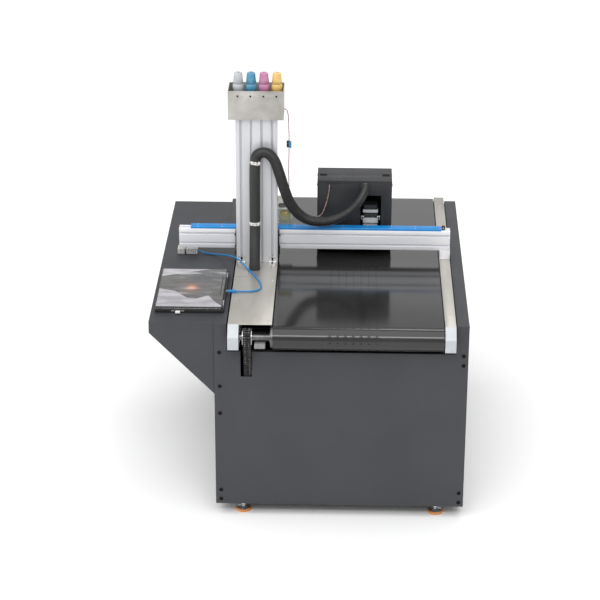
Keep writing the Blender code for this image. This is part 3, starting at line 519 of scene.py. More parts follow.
def add_prism(work, outline, axis, low, high, holes=()):
    """Prism with holes through it, along X, Y or Z; the outline is in the other two axes, in order."""
    index = "XYZ".index(axis)

    def spot(pair, depth):
        place = list(pair)
        place.insert(index, depth)
        return place

    for depth in (low, high):
        edges = []
        for loop in (outline, *holes):
            ring = [work.verts.new(spot(p, depth)) for p in loop]
            edges += [work.edges.new((ring[i - 1], ring[i])) for i in range(len(ring))]
        bmesh.ops.triangle_fill(work, edges=edges, use_beauty=True)
    for loop in (outline, *holes):
        for a, b in zip(loop, loop[1:] + loop[:1]):
            corners = [spot(a, low), spot(b, low), spot(b, high), spot(a, high)]
            work.faces.new([work.verts.new(c) for c in corners])


def round_loop(centre, radius, steps=16):
    return [(centre[0] + radius * math.cos(math.tau * i / steps),
             centre[1] + radius * math.sin(math.tau * i / steps))
            for i in range(steps)]


def screws(name, places, normal, body, look=None, radius=0.0075, height=0.0032,
           cap=False):
    """A set of screws on one face, as one piece."""
    work = bmesh.new()
    for place in places:
        (add_cap_screw if cap else add_screw)(work, Vector(place), normal, radius, height)
    return piece(name, work, look or SCREW_BLACK, body)


# ---------------------------------------------------------------- camera, floor and light
def make_camera():
    lens = bpy.data.cameras.new("camera")
    lens.lens = LENS
    lens.sensor_width = 36.0
    lens.clip_end = 60.0
    camera = bpy.data.objects.new("camera", lens)
    bpy.context.scene.collection.objects.link(camera)
    facing = Euler((math.radians(90 - CAMERA_DOWN), 0, math.radians(CAMERA_YAW))).to_matrix()
    roll = Matrix.Rotation(math.radians(CAMERA_ROLL), 3, "Z")
    camera.matrix_world = Matrix.Translation(CAMERA_PLACE) @ (facing @ roll).to_4x4()
    bpy.context.scene.camera = camera


def soft_box(name, place, aim, size, power):
    light = bpy.data.lights.new(name, "AREA")
    light.shape = "RECTANGLE"
    light.size, light.size_y = size
    light.energy = power
    lamp = bpy.data.objects.new(name, light)
    bpy.context.scene.collection.objects.link(lamp)
    lamp.location = place
    lamp.rotation_euler = (Vector(aim) - Vector(place)).to_track_quat("-Z", "Y").to_euler()


def make_studio():
    """Pale floor and wide soft light, brightest from above and in front."""
    work = bmesh.new()
    corners = ((-1, -1), (1, -1), (1, 1), (-1, 1))
    work.faces.new([work.verts.new((x * FLOOR_REACH, y * FLOOR_REACH, 0)) for x, y in corners])
    mesh = bpy.data.meshes.new("floor")
    work.to_mesh(mesh)
    work.free()
    mesh.materials.append(plain("pale_floor", both(0.92), 0.9))
    floor = bpy.data.objects.new("floor", mesh)
    bpy.context.scene.collection.objects.link(floor)
    world = bpy.data.worlds.new("studio")
    world.use_nodes = True
    backdrop = world.node_tree.nodes["Background"]
    backdrop.inputs["Color"].default_value = (1.0, 1.0, 1.0, 1.0)
    backdrop.inputs["Strength"].default_value = WORLD_STRENGTH
    bpy.context.scene.world = world
    bpy.context.scene.view_settings.view_transform = "Standard"
    sky = bpy.data.lights.new("sky_light", "SUN")
    sky.energy = SKY_STRENGTH
    sky.angle = math.radians(SKY_SPREAD)
    lamp = bpy.data.objects.new("sky_light", sky)
    bpy.context.scene.collection.objects.link(lamp)
    lamp.rotation_euler = (math.radians(22), math.radians(-6), 0)
    middle = (0.0, 0.0, 0.75)
    soft_box("front_light", (0.2, -4.8, 4.4), middle, (4.6, 0.9), 80)
    soft_box("left_light", (-4.4, -1.8, 2.6), middle, (1.8, 2.2), 28)
    soft_box("back_light", (1.2, 2.6, 5.4), middle, (2.4, 1.6), 40)
    soft_box("low_back_light", (0.6, 4.6, 2.35), middle, (3.8, 1.3), 9)


# ---------------------------------------------------------------- cords
def make_hose():
    """Braided sleeve up the column, then bare corrugated conduit down to the hood."""
    line = smooth_line(HOSE_ROUTE, 0.0008)
    length = line_length(line)
    sleeve_end = 0.455
    pitch = 0.0042
    reach = HOSE_DIAMETER / 2

    def radius(travelled):
        if travelled < sleeve_end:
            flare = 0.0008 * max(0.0, 1 - travelled / 0.025)
            tied = sum(0.0012 * math.exp(-((travelled - s) / 0.006) ** 2) for s in (0.178, 0.433))
            return reach - 0.0004 + flare - tied
        ridge = 0.5 - 0.5 * math.cos(math.tau * (travelled - sleeve_end) / pitch)
        taper = max(0.0, (travelled - sleeve_end) / (length - sleeve_end) - 0.50) * 0.009
        return reach - 0.0012 - taper + 0.0010 * ridge ** 0.6

    work = bmesh.new()
    for travelled, face in add_tube(work, line, radius, 28):
        face.material_index = 0 if travelled < sleeve_end else 1
    conduit = surface("corrugated_conduit", both(0.010), both(0.015), (0.30, 0.40), patch=0.03,
                      height=0.000004)
    hose = piece("hose_look", work, [woven_sleeve(), conduit], "machine", ["hose"],
                 blended=True,
                 smooth=60)
    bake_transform(hose)


def make_ties():
    """Cable ties round the sleeve: two bands at each place, and three heads beside them."""
    for name, centre, normal in (("lower", (-0.221, -0.0983, 0.992), (0, 0.03, 1)),
                                 ("upper", (-0.2172, -0.0995, 1.243), (0.25, -0.09, 1))):
        work = bmesh.new()
        inner = 0.0200
        outer = inner + 0.0020
        for lift in (-0.0034, 0.0034):
            band = [(inner, lift - 0.0024), (outer, lift - 0.0020), (outer, lift + 0.0020),
                    (inner, lift + 0.0024),
                    (inner, lift - 0.0024)]
            add_turned(work, band, centre, normal, 32)
        x, y, z = centre
        for offset in (-0.013, 0.001, 0.014):
            depth = math.sqrt(outer ** 2 - offset ** 2)
            add_box(work, (x + offset - 0.0035, y - depth - 0.0025, z - 0.0060),
                    (x + offset + 0.0035, y - depth + 0.0030, z + 0.0060), 0.0010)
        piece(f"cable_tie_{name}", work, PALE_PLASTIC, "machine")


def make_usb_cable():
    line = smooth_line(USB_ROUTE, 0.005)
    work = bmesh.new()
    add_tube(work, line, USB_DIAMETER / 2, 14)
    cable = piece("usb_cable_look", work, BLUE_CABLE, "machine", ["usb_cable"], smooth=60)
    work = bmesh.new()
    low, high = (Vector(corner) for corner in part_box("usb_plug"))
    middle = (low + high) / 2
    add_box(work, (low.x + 0.0020, low.y, low.z), high, 0.0022, 3)
    for i in range(4):
        x = high.x - 0.004 - i * 0.0035
        add_box(work, (x - 0.0009, low.y - 0.0003, low.z - 0.0002),
                (x + 0.0009, high.y + 0.0003, high.z + 0.0002), 0.0003)
    plug = piece("usb_plug_look", work, BLUE_CABLE, "machine", ["usb_plug"])
    work = bmesh.new()
    add_box(work, (low.x, middle.y - 0.006, middle.z - 0.0022),
            (low.x + 0.0040, middle.y + 0.006, middle.z + 0.0022),
            0.0004)
    shell = piece("usb_plug_shell", work, STEEL, "machine")


def add_twisted_pair(work, line, diameter):
    """A red and a pale core wound round each other."""
    core = diameter * 0.36
    for shade, phase in enumerate((0.0, math.pi)):
        points = []
        travelled = 0.0
        for i, point in enumerate(line):
            after = line[min(i + 1, len(line) - 1)]
            before = line[max(i - 1, 0)]
            travelled += (point - before).length if i else 0.0
            heading = (after - before).normalized()
            side = heading.cross(Vector((0, 1, 0.2))).normalized()
            other = heading.cross(side)
            angle = phase + math.tau * travelled / 0.016
            points.append(point + (side * math.cos(angle) + other * math.sin(angle)) * diameter * 0.24)
        for _, face in add_tube(work, points, core, 8):
            face.material_index = shade


def twisted_wire(node, route, blended=False):
    """The piece for a wire, and the line it follows."""
    line = smooth_line(route, 0.0015)
    work = bmesh.new()
    add_twisted_pair(work, line, WIRE_DIAMETER)
    wire = piece(f"{node}_look", work, [WIRE_RED, WIRE_PALE], "machine", [node], smooth=60,
                 blended=blended)
    return wire, line


def make_wires():
    """Twisted wire from the tray, its inline connector, and the wire on to the hood."""
    upper, line = twisted_wire("upper_wire", UPPER_WIRE_ROUTE)
    low, high = (Vector(corner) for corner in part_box("wire_connector"))
    middle = (low + high) / 2
    work = bmesh.new()
    add_box(work, (middle.x + 0.0002, low.y, low.z), (high.x, high.y, high.z - 0.002), 0.0020, 3)
    shell = piece("connector_socket", work, BLUE_CABLE, "machine")
    work = bmesh.new()
    add_box(work, (low.x, low.y + 0.0004, low.z + 0.002), (middle.x - 0.0002, high.y - 0.0004, high.z),
            0.0018, 3)
    add_box(work, (middle.x - 0.0035, middle.y - 0.0035, high.z - 0.0035),
            (middle.x + 0.0035, middle.y + 0.0035, high.z), 0.0008)
    plug = piece("connector_plug", work, BLACK_PLASTIC, "machine", ["wire_connector"])
    lower, line = twisted_wire("lower_wire", LOWER_WIRE_ROUTE, blended=True)
    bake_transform(lower)


# ---------------------------------------------------------------- cabinet
def make_cabinet():
    for node in ("front_panel", "rear_panel"):
        skin(node, CHARCOAL, 0.0012, 3)
    skin("right_wall", CHARCOAL, 0.0014, 3)
    for node in ("left_wall", "console_shell"):
        skin(node, CHARCOAL, 0.0003, 1)
    skin("base_pan", CHARCOAL, 0.0006)
    for node in ("front_cross_member", "rear_cross_member", "drive_motor"):
        skin(node, BLACK_COAT, 0.0015)
    skin("vacuum_blower", BLACK_PLASTIC, 0.002)
    skin("control_box", ZINC, 0.001)
    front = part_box("front_panel")[0].y
    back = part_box("rear_panel")[1].y
    left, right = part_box("left_wall")[0].x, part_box("right_wall")[1].x
    left_line, right_line = left + 0.020, right - 0.0175
    left_heights = (0.687, 0.548, 0.436, 0.1095, 0.070)
    right_heights = (0.685, 0.646, 0.1086, 0.068)
    spots = [(left_line, z) for z in left_heights] + [(right_line, z) for z in right_heights]
    screws("front_panel_screws", [(x, front, z) for x, z in spots], (0, -1, 0), "machine")
    spots = [(x, z) for x in (left_line, right_line) for z in (0.687, 0.380, 0.090)]
    screws("rear_panel_screws", [(x, back, z) for x, z in spots], (0, 1, 0), "machine")
    runs = [(y, z) for y in (front + 0.05, -0.20, 0.21, back - 0.05) for z in (0.075, 0.780)]
    screws("right_wall_screws", [(right, y, z) for y, z in runs], (1, 0, 0), "machine")
    runs = [(y, 0.075) for y in (front + 0.05, -0.20, 0.21, back - 0.05)]
    screws("left_wall_screws", [(left, y, z) for y, z in runs], (-1, 0, 0), "machine")


def make_power_inlet():
    skin("power_inlet", BLACK_PLASTIC, 0.0006)
    low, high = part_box("power_inlet")
    x, _, z = middle_of(low, high)
    work = bmesh.new()
    for across, up in ((-0.006, -0.002), (0.006, -0.002), (0, 0.003)):
        add_box(work, (x + across - 0.0009, high.y - 0.0185, z + up - 0.002),
                (x + across + 0.0009, high.y - 0.0035, z + up + 0.002), 0.0004)
    piece("inlet_blades", work, BRASS, "machine")
    places = [(x + side * 0.0205, high.y, z) for side in (-1, 1)]
    screws("inlet_screws", places, (0, 1, 0), "machine", STEEL, 0.003, 0.0015)


def make_feet():
    """Rubber pad with a rounded rim, domed metal cup, hexagon nuts and threaded stem."""
    for number in range(1, 5):
        node = f"foot_{number}"
        low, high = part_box(node)
        centre = (*middle_of(low, high)[:2], 0)
        work = bmesh.new()
        pad = [(0, 0), (0.0270, 0), (0.0292, 0.0012), (0.0300, 0.0030), (0.0300, 0.0078), (0.0288, 0.0092),
               (0.0240, 0.0098), (0, 0.0098)]
        add_turned(work, pad, centre, steps=48)
        piece(f"{node}_pad", work, ORANGE_RUBBER, "machine", [node])
        work = bmesh.new()
        cup = [(0, 0.0090), (0.0255, 0.0090), (0.0255, 0.0108), (0.0215, 0.0130), (0.0150, 0.0165),
               (0.0125, 0.0195),
               (0.0115, 0.0215), (0, 0.0215)]
        add_turned(work, cup, centre, steps=40)
        nut = [(0, 0.0220), (0.0105, 0.0220), (0.0122, 0.0232, 6), (0.0122, 0.0292, 6), (0.0105, 0.0304),
               (0, 0.0304)]
        add_turned(work, nut, centre)
        top_nut = [(0, 0.0405), (0.0105, 0.0405), (0.0122, 0.0415, 6), (0.0122, 0.0480, 6), (0, 0.0494)]
        add_turned(work, top_nut, centre)
        piece(f"{node}_metal", work, STEEL, "machine")
        work = bmesh.new()
        stem = [(0, 0.020)]
        for i in range(16):
            stem += [(0.0048, 0.0202 + i * 0.0018), (0.0057, 0.0211 + i * 0.0018)]
        add_turned(work, stem + [(0, 0.0490)], centre, steps=20)
        piece(f"{node}_stem", work, SCREW_BLACK, "machine")


# ---------------------------------------------------------------- conveyor
def belt_spot(travelled, x, depth=0.0):
    """Point on the belt's loop: the length from the front end of its top run, across, and below its face."""
    run = 2 * ROLLER_Y
    half_turn = math.pi * BELT_RADIUS
    travelled %= 2 * (run + half_turn)
    reach = BELT_RADIUS - depth
    if travelled < run:
        return Vector((x, travelled - ROLLER_Y, ROLLER_Z + reach))
    travelled -= run
    if travelled < half_turn:
        angle = math.pi / 2 - travelled / BELT_RADIUS
        return Vector((x, ROLLER_Y + reach * math.cos(angle), ROLLER_Z + reach * math.sin(angle)))
    travelled -= half_turn
    if travelled < run:
        return Vector((x, ROLLER_Y - travelled, ROLLER_Z - reach))
    travelled -= run
    angle = -math.pi / 2 - travelled / BELT_RADIUS
    return Vector((x, -ROLLER_Y + reach * math.cos(angle), ROLLER_Z + reach * math.sin(angle)))


def make_belt():
    """Belt loop with its rows of suction holes, rounded edges and thickness."""
    loop = 2 * (2 * ROLLER_Y + math.pi * BELT_RADIUS)
    rows = round(loop / HOLE_PITCH)
    row = loop / rows
    steps = 4
    depth = 0.0022
    columns = [HOLE_FIRST_X + i * HOLE_PITCH for i in range(HOLE_COLUMNS)]
    left, right = columns[0] - HOLE_PITCH / 2, columns[-1] + HOLE_PITCH / 2
    edge = 0.0008
    across = [(BELT_X[0] + edge, BELT_THICKNESS), (BELT_X[0], BELT_THICKNESS - edge), (BELT_X[0], edge),
              (BELT_X[0] + edge, 0.0), (left, 0.0)]
    back = [(right, 0.0), (BELT_X[1] - edge, 0.0), (BELT_X[1], edge), (BELT_X[1], BELT_THICKNESS - edge),
            (BELT_X[1] - edge, BELT_THICKNESS), (BELT_X[0] + edge, BELT_THICKNESS)]
    work = bmesh.new()
    for strip in (across, back):
        for (x1, d1), (x2, d2) in zip(strip, strip[1:]):
            for i in range(rows * steps):
                s1, s2 = i * row / steps, (i + 1) * row / steps
                corners = [belt_spot(s1, x1, d1), belt_spot(s1, x2, d2), belt_spot(s2, x2, d2),
                           belt_spot(s2, x1, d1)]
                work.faces.new([work.verts.new(c) for c in corners])
    tile = [(-0.5 + i / steps, -0.5) for i in range(steps)]
    tile += [(0.5, -0.5 + i / steps) for i in range(steps)]
    tile += [(0.5 - i / steps, 0.5) for i in range(steps)]
    tile += [(-0.5, 0.5 - i / steps) for i in range(steps)]
    for n in range(rows):
        for x in columns:
            middle = (n + 0.5) * row
            rings = [[belt_spot(middle + v * row, x + u * HOLE_PITCH) for u, v in tile]]
            for reach, sunk in ((HOLE_RADIUS * 2.2, 0.0), (HOLE_RADIUS * 1.12, 0.0), (HOLE_RADIUS, 0.0003),
                                (HOLE_RADIUS, depth)):
                ring = []
                for u, v in tile:
                    size = math.hypot(u, v)
                    ring.append(belt_spot(middle + reach * v / size, x + reach * u / size, sunk))
                rings.append(ring)
            verts = [[work.verts.new(p) for p in ring] for ring in rings]
            for first, second in zip(verts, verts[1:]):
                for i in range(len(first)):
                    k = (i + 1) % len(first)
                    work.faces.new((first[i], first[k], second[k], second[i]))
            work.faces.new(verts[-1]).material_index = 1
    weld(work, 0.00001)
    piece("belt_look", work, [BELT_BLACK, SOCKET_DARK], "machine", ["conveyor_belt"],
          smooth=40)


def make_conveyor_frame():
    for node in ("left_rail", "right_rail"):
        skin(node, END_GREY, 0.0010, 3)
    for node in ("left_plate", "right_strip"):
        skin(node, STAINLESS, 0.0005)
    skin("vacuum_table", ALUMINIUM_X, 0.0005)
    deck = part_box("left_plate")[1].z
    left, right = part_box("left_plate"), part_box("right_strip")
    work = bmesh.new()
    add_box(work, (left[0].x + 0.0008, -0.2175, deck - 0.0003),
            (left[0].x + 0.0525, -0.2165, deck + 0.00015))
    add_box(work, (left[0].x + 0.0520, -0.2170, deck - 0.0003), (left[0].x + 0.0530, 0.300, deck + 0.00015))
    piece("deck_seam", work, SOCKET_DARK, "machine")
    along = (-0.552, -0.185, 0.182, 0.552)
    places = [(right[0].x + 0.0220, y, deck) for y in along]
    places += [(left[0].x + 0.020, y, deck) for y in (-0.600, -0.420, 0.182, 0.400, 0.600)]
    places += [(left[1].x - 0.014, y, deck) for y in (-0.620, -0.250, 0.182, 0.600)]
    screws("deck_screws", places, (0, 0, 1), "machine", STEEL, 0.0042, 0.0016)
    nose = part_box("right_rail")[0].y
    for name, outer, side in (("left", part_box("left_rail")[0].x, -1),
                              ("right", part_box("right_rail")[1].x, 1)):
        places = [(outer, y, 0.745) for y in (nose + 0.075, nose + 0.115, -nose - 0.075, -nose - 0.115)]
        screws(f"{name}_rail_screws", places, (side, 0, 0), "machine", STEEL, 0.0055, 0.005,
               cap=True)


def make_rollers():
    """Steel drums with turned ends, a lathe centre in each shaft and a clamp collar beside the drum."""
    for node in ("front_roller", "rear_roller"):
        low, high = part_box(node)
        y = (low.y + high.y) / 2
        drum = (high.z - low.z) / 2
        shaft = 0.0125
        left, right = -0.140, 0.4965
        profile = [(0, low.x + 0.0045), (0.0028, low.x + 0.0008), (0.0028, low.x), (shaft - 0.0012, low.x),
                   (shaft, low.x + 0.0012), (shaft, left - 0.0035), (0.0200, left - 0.0035), (0.0200, left),
                   (drum - 0.0015, left), (drum, left + 0.0015), (drum, right - 0.0015),
                   (drum - 0.0015, right),
                   (shaft, right), (shaft, high.x - 0.0012), (shaft - 0.0012, high.x), (0.0028, high.x),
                   (0.0028, high.x - 0.0008), (0, high.x - 0.0045)]
        work = bmesh.new()
        add_turned(work, profile, (0, y, ROLLER_Z), (1, 0, 0), 56)
        piece(f"{node}_look", work, DARK_STEEL, BODY_OF[node], [node])


def make_shaft_bracket():
    """Grey bearing block under the front shaft, on an arm from the left rail."""
    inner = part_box("left_rail")[1].x
    low, high = 0.722, 0.7425
    work = bmesh.new()
    add_box(work, (-0.199, -0.672, low), (-0.159, -0.600, high), 0.0015, 2)
    add_box(work, (inner, -0.590, low), (-0.159, -0.580, high), 0.0012, 2)
    add_box(work, (-0.199, -0.602, low), (-0.159, -0.588, high), 0.0012, 2)
    piece("shaft_bearing_block", work, GREY_PLASTIC, "machine")


def make_sprockets():
    """Two flanges and a toothed middle."""
    for node in ("roller_sprocket", "motor_sprocket"):
        low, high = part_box(node)
        centre = Vector(middle_of(low, high))
        bore = 0.0129
        flange = 0.003
        work = bmesh.new()
        for side in (-1, 1):
            outer = side * SPROCKET_HALF
            inner = side * (SPROCKET_HALF - flange)
            ring = [(bore, outer), (0.019, outer), (0.0198, outer - side * 0.0008),
                    (SPROCKET_RADIUS - 0.0008, outer - side * 0.0008),
                    (SPROCKET_RADIUS, outer - side * 0.0014), (SPROCKET_RADIUS, inner), (bore, inner),
                    (bore, outer)]
            add_turned(work, ring, centre, (1, 0, 0), 40)
        piece(f"{node}_flanges", work, STEEL, BODY_OF[node], [node])
        work = bmesh.new()
        teeth = 20
        outline = []
        for i in range(teeth):
            for share, reach in ((0.0, 0.0255), (0.25, 0.0262), (0.42, 0.0278), (0.58, 0.0278),
                                 (0.75, 0.0262)):
                angle = math.tau * (i + share) / teeth
                outline.append((centre.y + reach * math.cos(angle), centre.z + reach * math.sin(angle)))
        half = SPROCKET_HALF - flange
        add_prism(work, outline, "X", centre.x - half, centre.x + half,
                  [round_loop((centre.y, centre.z), bore, 24)])
        weld(work)
        piece(f"{node}_teeth", work, CHAIN_BLACK, BODY_OF[node])


def chain_loop():
    """Evenly spaced pin places round both sprockets."""
    upper, lower = Vector((-ROLLER_Y, ROLLER_Z)), Vector((MOTOR_Y, MOTOR_Z))
    run = lower - upper
    side = Vector((-run.y, run.x)).normalized() * CHAIN_RADIUS
    heading = math.atan2(side.y, side.x)
    corners = []
    fine = 48
    for i in range(fine + 1):
        angle = heading + math.pi * i / fine
        corners.append(upper + CHAIN_RADIUS * Vector((math.cos(angle), math.sin(angle))))
    for i in range(fine + 1):
        angle = heading + math.pi + math.pi * i / fine
        corners.append(lower + CHAIN_RADIUS * Vector((math.cos(angle), math.sin(angle))))
    corners.append(corners[0])
    total = line_length(corners)
    places = []
    travelled = 0.0
    for a, b in zip(corners, corners[1:]):
        span = (b - a).length
        while span and len(places) < CHAIN_LINKS and len(places) * total / CHAIN_LINKS < travelled + span:
            places.append(a.lerp(b, (len(places) * total / CHAIN_LINKS - travelled) / span))
        travelled += span
    return places


def make_chain():
    """Duplex roller chain: rollers on pins, with waisted plates inside and outside by turns."""
    pins = chain_loop()
    rollers, plates = bmesh.new(), bmesh.new()
    for i, pin in enumerate(pins):
        following = pins[(i + 1) % len(pins)]
        heading = (following - pin).normalized()
        across = Vector((-heading.y, heading.x))
        for offset in (-0.0068, 0.0068):
            body = [(0, -0.0030), (0.0029, -0.0030), (0.0029, 0.0030), (0, 0.0030)]
            add_turned(rollers, body, (SPROCKET_X + offset, *pin), (1, 0, 0), 12)
        add_turned(rollers, [(0, -0.0148), (0.0013, -0.0146), (0.0015, -0.0140), (0.0015, 0.0140),
                             (0.0013, 0.0146),
                             (0, 0.0148)], (SPROCKET_X, *pin), (1, 0, 0), 10)
        outline = []
        for share, reach in ((-0.36, 0.0), (-0.26, 0.0026), (0.0, 0.0038), (0.25, 0.0033), (0.5, 0.0027),
                             (0.75, 0.0033),
                             (1.0, 0.0038), (1.26, 0.0026), (1.36, 0.0), (1.26, -0.0026), (1.0, -0.0038),
                             (0.75, -0.0033), (0.5, -0.0027), (0.25, -0.0033), (0.0, -0.0038),
                             (-0.26, -0.0026)):
            spot = pin + (following - pin) * share + across * reach
            outline.append((spot.x, spot.y))
        gaps = (0.0034, 0.0102) if i % 2 else (0.0046, 0.0114, 0.0022)
        for gap in gaps:
            for side in (-1, 1):
                x = SPROCKET_X + side * gap
                add_prism(plates, outline, "X", x - 0.0005, x + 0.0005)
    weld(plates, 0.000002)
    piece("chain_plates", plates, CHAIN_BLACK, "machine", ["drive_chain"])
    piece("chain_rollers", rollers, CHAIN_ROLLER, "machine")


# ---------------------------------------------------------------- gantry and column
def slot_points(along, face, inward):
    """One T-slot with rounded lips and a sloping pocket, as (along, depth) points."""
    steps = [(-0.0046, 0), (-0.0041, 0.0005), (-0.0041, 0.0022), (-0.0046, 0.0026), (-0.0082, 0.0026),
             (-0.0082, 0.0052), (-0.0046, 0.0092)]
    mirrored = [(-a, d) for a, d in reversed(steps)]
    return [(along + a, face + inward * d) for a, d in steps + mirrored]


def profile_outline(low, high, slots_u, slots_v):
    """Outline of an aluminium profile with rounded corners and T-slots on its faces."""
    (u0, v0), (u1, v1) = low, high
    corner = 0.0016
    points = [(u0, v0 + corner), (u0 + corner * 0.3, v0 + corner * 0.3), (u0 + corner, v0)]
    for u in slots_u:
        points += slot_points(u, v0, 1)
    points += [(u1 - corner, v0), (u1 - corner * 0.3, v0 + corner * 0.3), (u1, v0 + corner)]
    for v in slots_v:
        points += [(b, a) for a, b in slot_points(v, u1, -1)]
    points += [(u1, v1 - corner), (u1 - corner * 0.3, v1 - corner * 0.3), (u1 - corner, v1)]
    for u in reversed(slots_u):
        points += list(reversed(slot_points(u, v1, -1)))
    points += [(u0 + corner, v1), (u0 + corner * 0.3, v1 - corner * 0.3), (u0, v1 - corner)]
    for v in reversed(slots_v):
        points += [(b, a) for a, b in reversed(slot_points(v, u0, 1))]
    return points


def make_gantry():
    low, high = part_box("gantry_beam")
    pitch = 0.040
    middles = [low.z + pitch * 0.5, low.z + pitch * 1.5]
    outline = profile_outline((low.y, low.z), (high.y, high.z), [0], middles)
    holes = [round_loop((0, z), 0.0038) for z in middles] + [round_loop((0, (low.z + high.z) / 2), 0.0052)]
    holes += [round_loop((y, (low.z + high.z) / 2), 0.0030) for y in (-0.0135, 0.0135)]
    work = bmesh.new()
    add_prism(work, outline, "X", low.x, high.x, holes)
    weld(work)
    piece("beam_look", work, ALUMINIUM_X, "machine", ["gantry_beam"], smooth=25)
    low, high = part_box("column")
    middles = [low.x + pitch * (i + 0.5) for i in range(4)]
    depth_middle = (low.y + high.y) / 2
    outline = profile_outline((low.x, low.y), (high.x, high.y), middles, [depth_middle])
    holes = [round_loop((x, depth_middle), 0.0038) for x in middles]
    holes += [round_loop((x + pitch / 2, depth_middle), 0.0055) for x in middles[:3]]
    work = bmesh.new()
    add_prism(work, outline, "Z", low.z, high.z, holes)
    weld(work)
    piece("column_look", work, ALUMINIUM_Z, "machine", ["column"], smooth=25)
    for node in ("left_beam_support", "right_beam_support"):
        skin(node, ALUMINIUM_X, 0.0008)
    skin("column_adapter", BLACK_COAT, 0.0008)
    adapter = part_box("column_adapter")
    adapter_middle = middle_of(*adapter)[1]
    for name, x, side in (("right", adapter[1].x, 1), ("left", adapter[0].x, -1)):
        places = [(x, adapter_middle, z) for z in (0.836, 0.862, 0.912)]
        screws(f"adapter_{name}_screws", places, (side, 0, 0), "machine", radius=0.0036, height=0.0035,
               cap=True)
    angle = [(low.y, low.z), (low.y - 0.022, low.z), (low.y - 0.022, low.z + 0.003),
             (low.y - 0.0045, low.z + 0.003),
             (low.y - 0.003, low.z + 0.0045), (low.y - 0.003, low.z + 0.026), (low.y, low.z + 0.026)]
    work = bmesh.new()
    angle_x = (-0.275, -0.155)
    for x in angle_x:
        add_prism(work, angle, "X", x - 0.013, x + 0.013)
    piece("column_foot_angles", work, STEEL, "machine", edge=0.0006)
    places = [(x, low.y - 0.003, low.z + 0.017) for x in angle_x]
    screws("column_foot_screws", places, (0, -1, 0), "machine", radius=0.0042, height=0.004, cap=True)
    places = [(x, low.y - 0.015, low.z + 0.003) for x in angle_x]
    screws("foot_angle_screws", places, (0, 0, 1), "machine", radius=0.0042, height=0.003, cap=True)
    work = bmesh.new()
    for side in (-1, 1):
        x = adapter[0].x if side < 0 else adapter[1].x
        add_box(work, (min(x, x + side * 0.0016), adapter[0].y + 0.001, 0.8690),
                (max(x, x + side * 0.0016), adapter[1].y - 0.001, 0.8705), 0.0003)
    piece("adapter_joint", work, SOCKET_DARK, "machine")


def make_belt_cover():
    """Blue cover strip with small screws along its front edge and rear edge."""
    skin("belt_cover", BLUE, 0.0008)
    low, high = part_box("belt_cover")
    work = bmesh.new()
    spacing = 0.0947
    count = int((high.x - low.x - 0.03) / spacing) + 1
    for i in range(count):
        x = low.x + 0.028 + i * spacing
        for side in (-1, 1):
            add_screw(work, Vector((x, side * 0.0133, high.z - 0.0002)), Vector((0, 0, 1)), 0.0026, 0.0013)
    piece("belt_cover_screws", work, STEEL, "machine")
    work = bmesh.new()
    outline = [(-0.0085, high.z), (-0.0085, high.z + 0.0007), (0.0085, high.z + 0.0007), (0.0085, high.z)]
    add_prism(work, outline, "X", low.x + 0.006, high.x - 0.006)
    piece("belt_cover_rib", work, BLUE, "machine", edge=0.0003)


def make_x_rail():
    """Linear guide rail with side grooves and a row of socket screws."""
    low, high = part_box("x_rail")
    middle = (low.z + high.z) / 2
    outline = [(low.y, low.z), (low.y, high.z), (low.y + 0.0030, high.z), (low.y + 0.0042, high.z - 0.0012),
               (low.y + 0.0054, high.z), (high.y, high.z), (high.y, low.z), (low.y + 0.0054, low.z),
               (low.y + 0.0042, low.z + 0.0012), (low.y + 0.0030, low.z)]
    work = bmesh.new()
    add_prism(work, outline, "X", low.x, high.x)
    weld(work)
    piece("x_rail_look", work, STEEL, "machine", ["x_rail"], edge=0.0003, smooth=25)
    work = bmesh.new()
    pitch = 0.025
    for i in range(24):
        x = low.x + pitch / 2 + i * pitch
        add_turned(work, [(0, 0.00002), (0.0030, 0.00002), (0.0030, 0.00012), (0.0016, 0.00012),
                          (0.0014, -0.0010, 6), (0, -0.0010)],
                   (x, high.y, middle), (0, 1, 0), 18)
    piece("x_rail_screws", work, SCREW_BLACK, "machine")


def add_motor(cap_work, stack_work, centre, axis, half, low, high, cap):
    """Square stepper: end caps with chamfered corners and a dark stack between them, along an axis."""
    def ring(reach, chamfer):
        points = []
        for sx, sy in ((1, 1), (-1, 1), (-1, -1), (1, -1)):
            near = [(sx * reach, sy * (reach - chamfer)), (sx * (reach - chamfer), sy * reach)]
            points += near if sx * sy > 0 else near[::-1]
        return points

    u, v = [c for c, name in zip(centre, "XYZ") if name != axis]
    for target, start, end, reach, chamfer in (
            (cap_work, low, low + cap, half, 0.0045),
                                               (stack_work, low + cap, high - cap, half - 0.0008, 0.0075),
            (cap_work, high - cap, high, half, 0.0045)):
        add_prism(target, [(u + a, v + b) for a, b in ring(reach, chamfer)], axis, start, end)


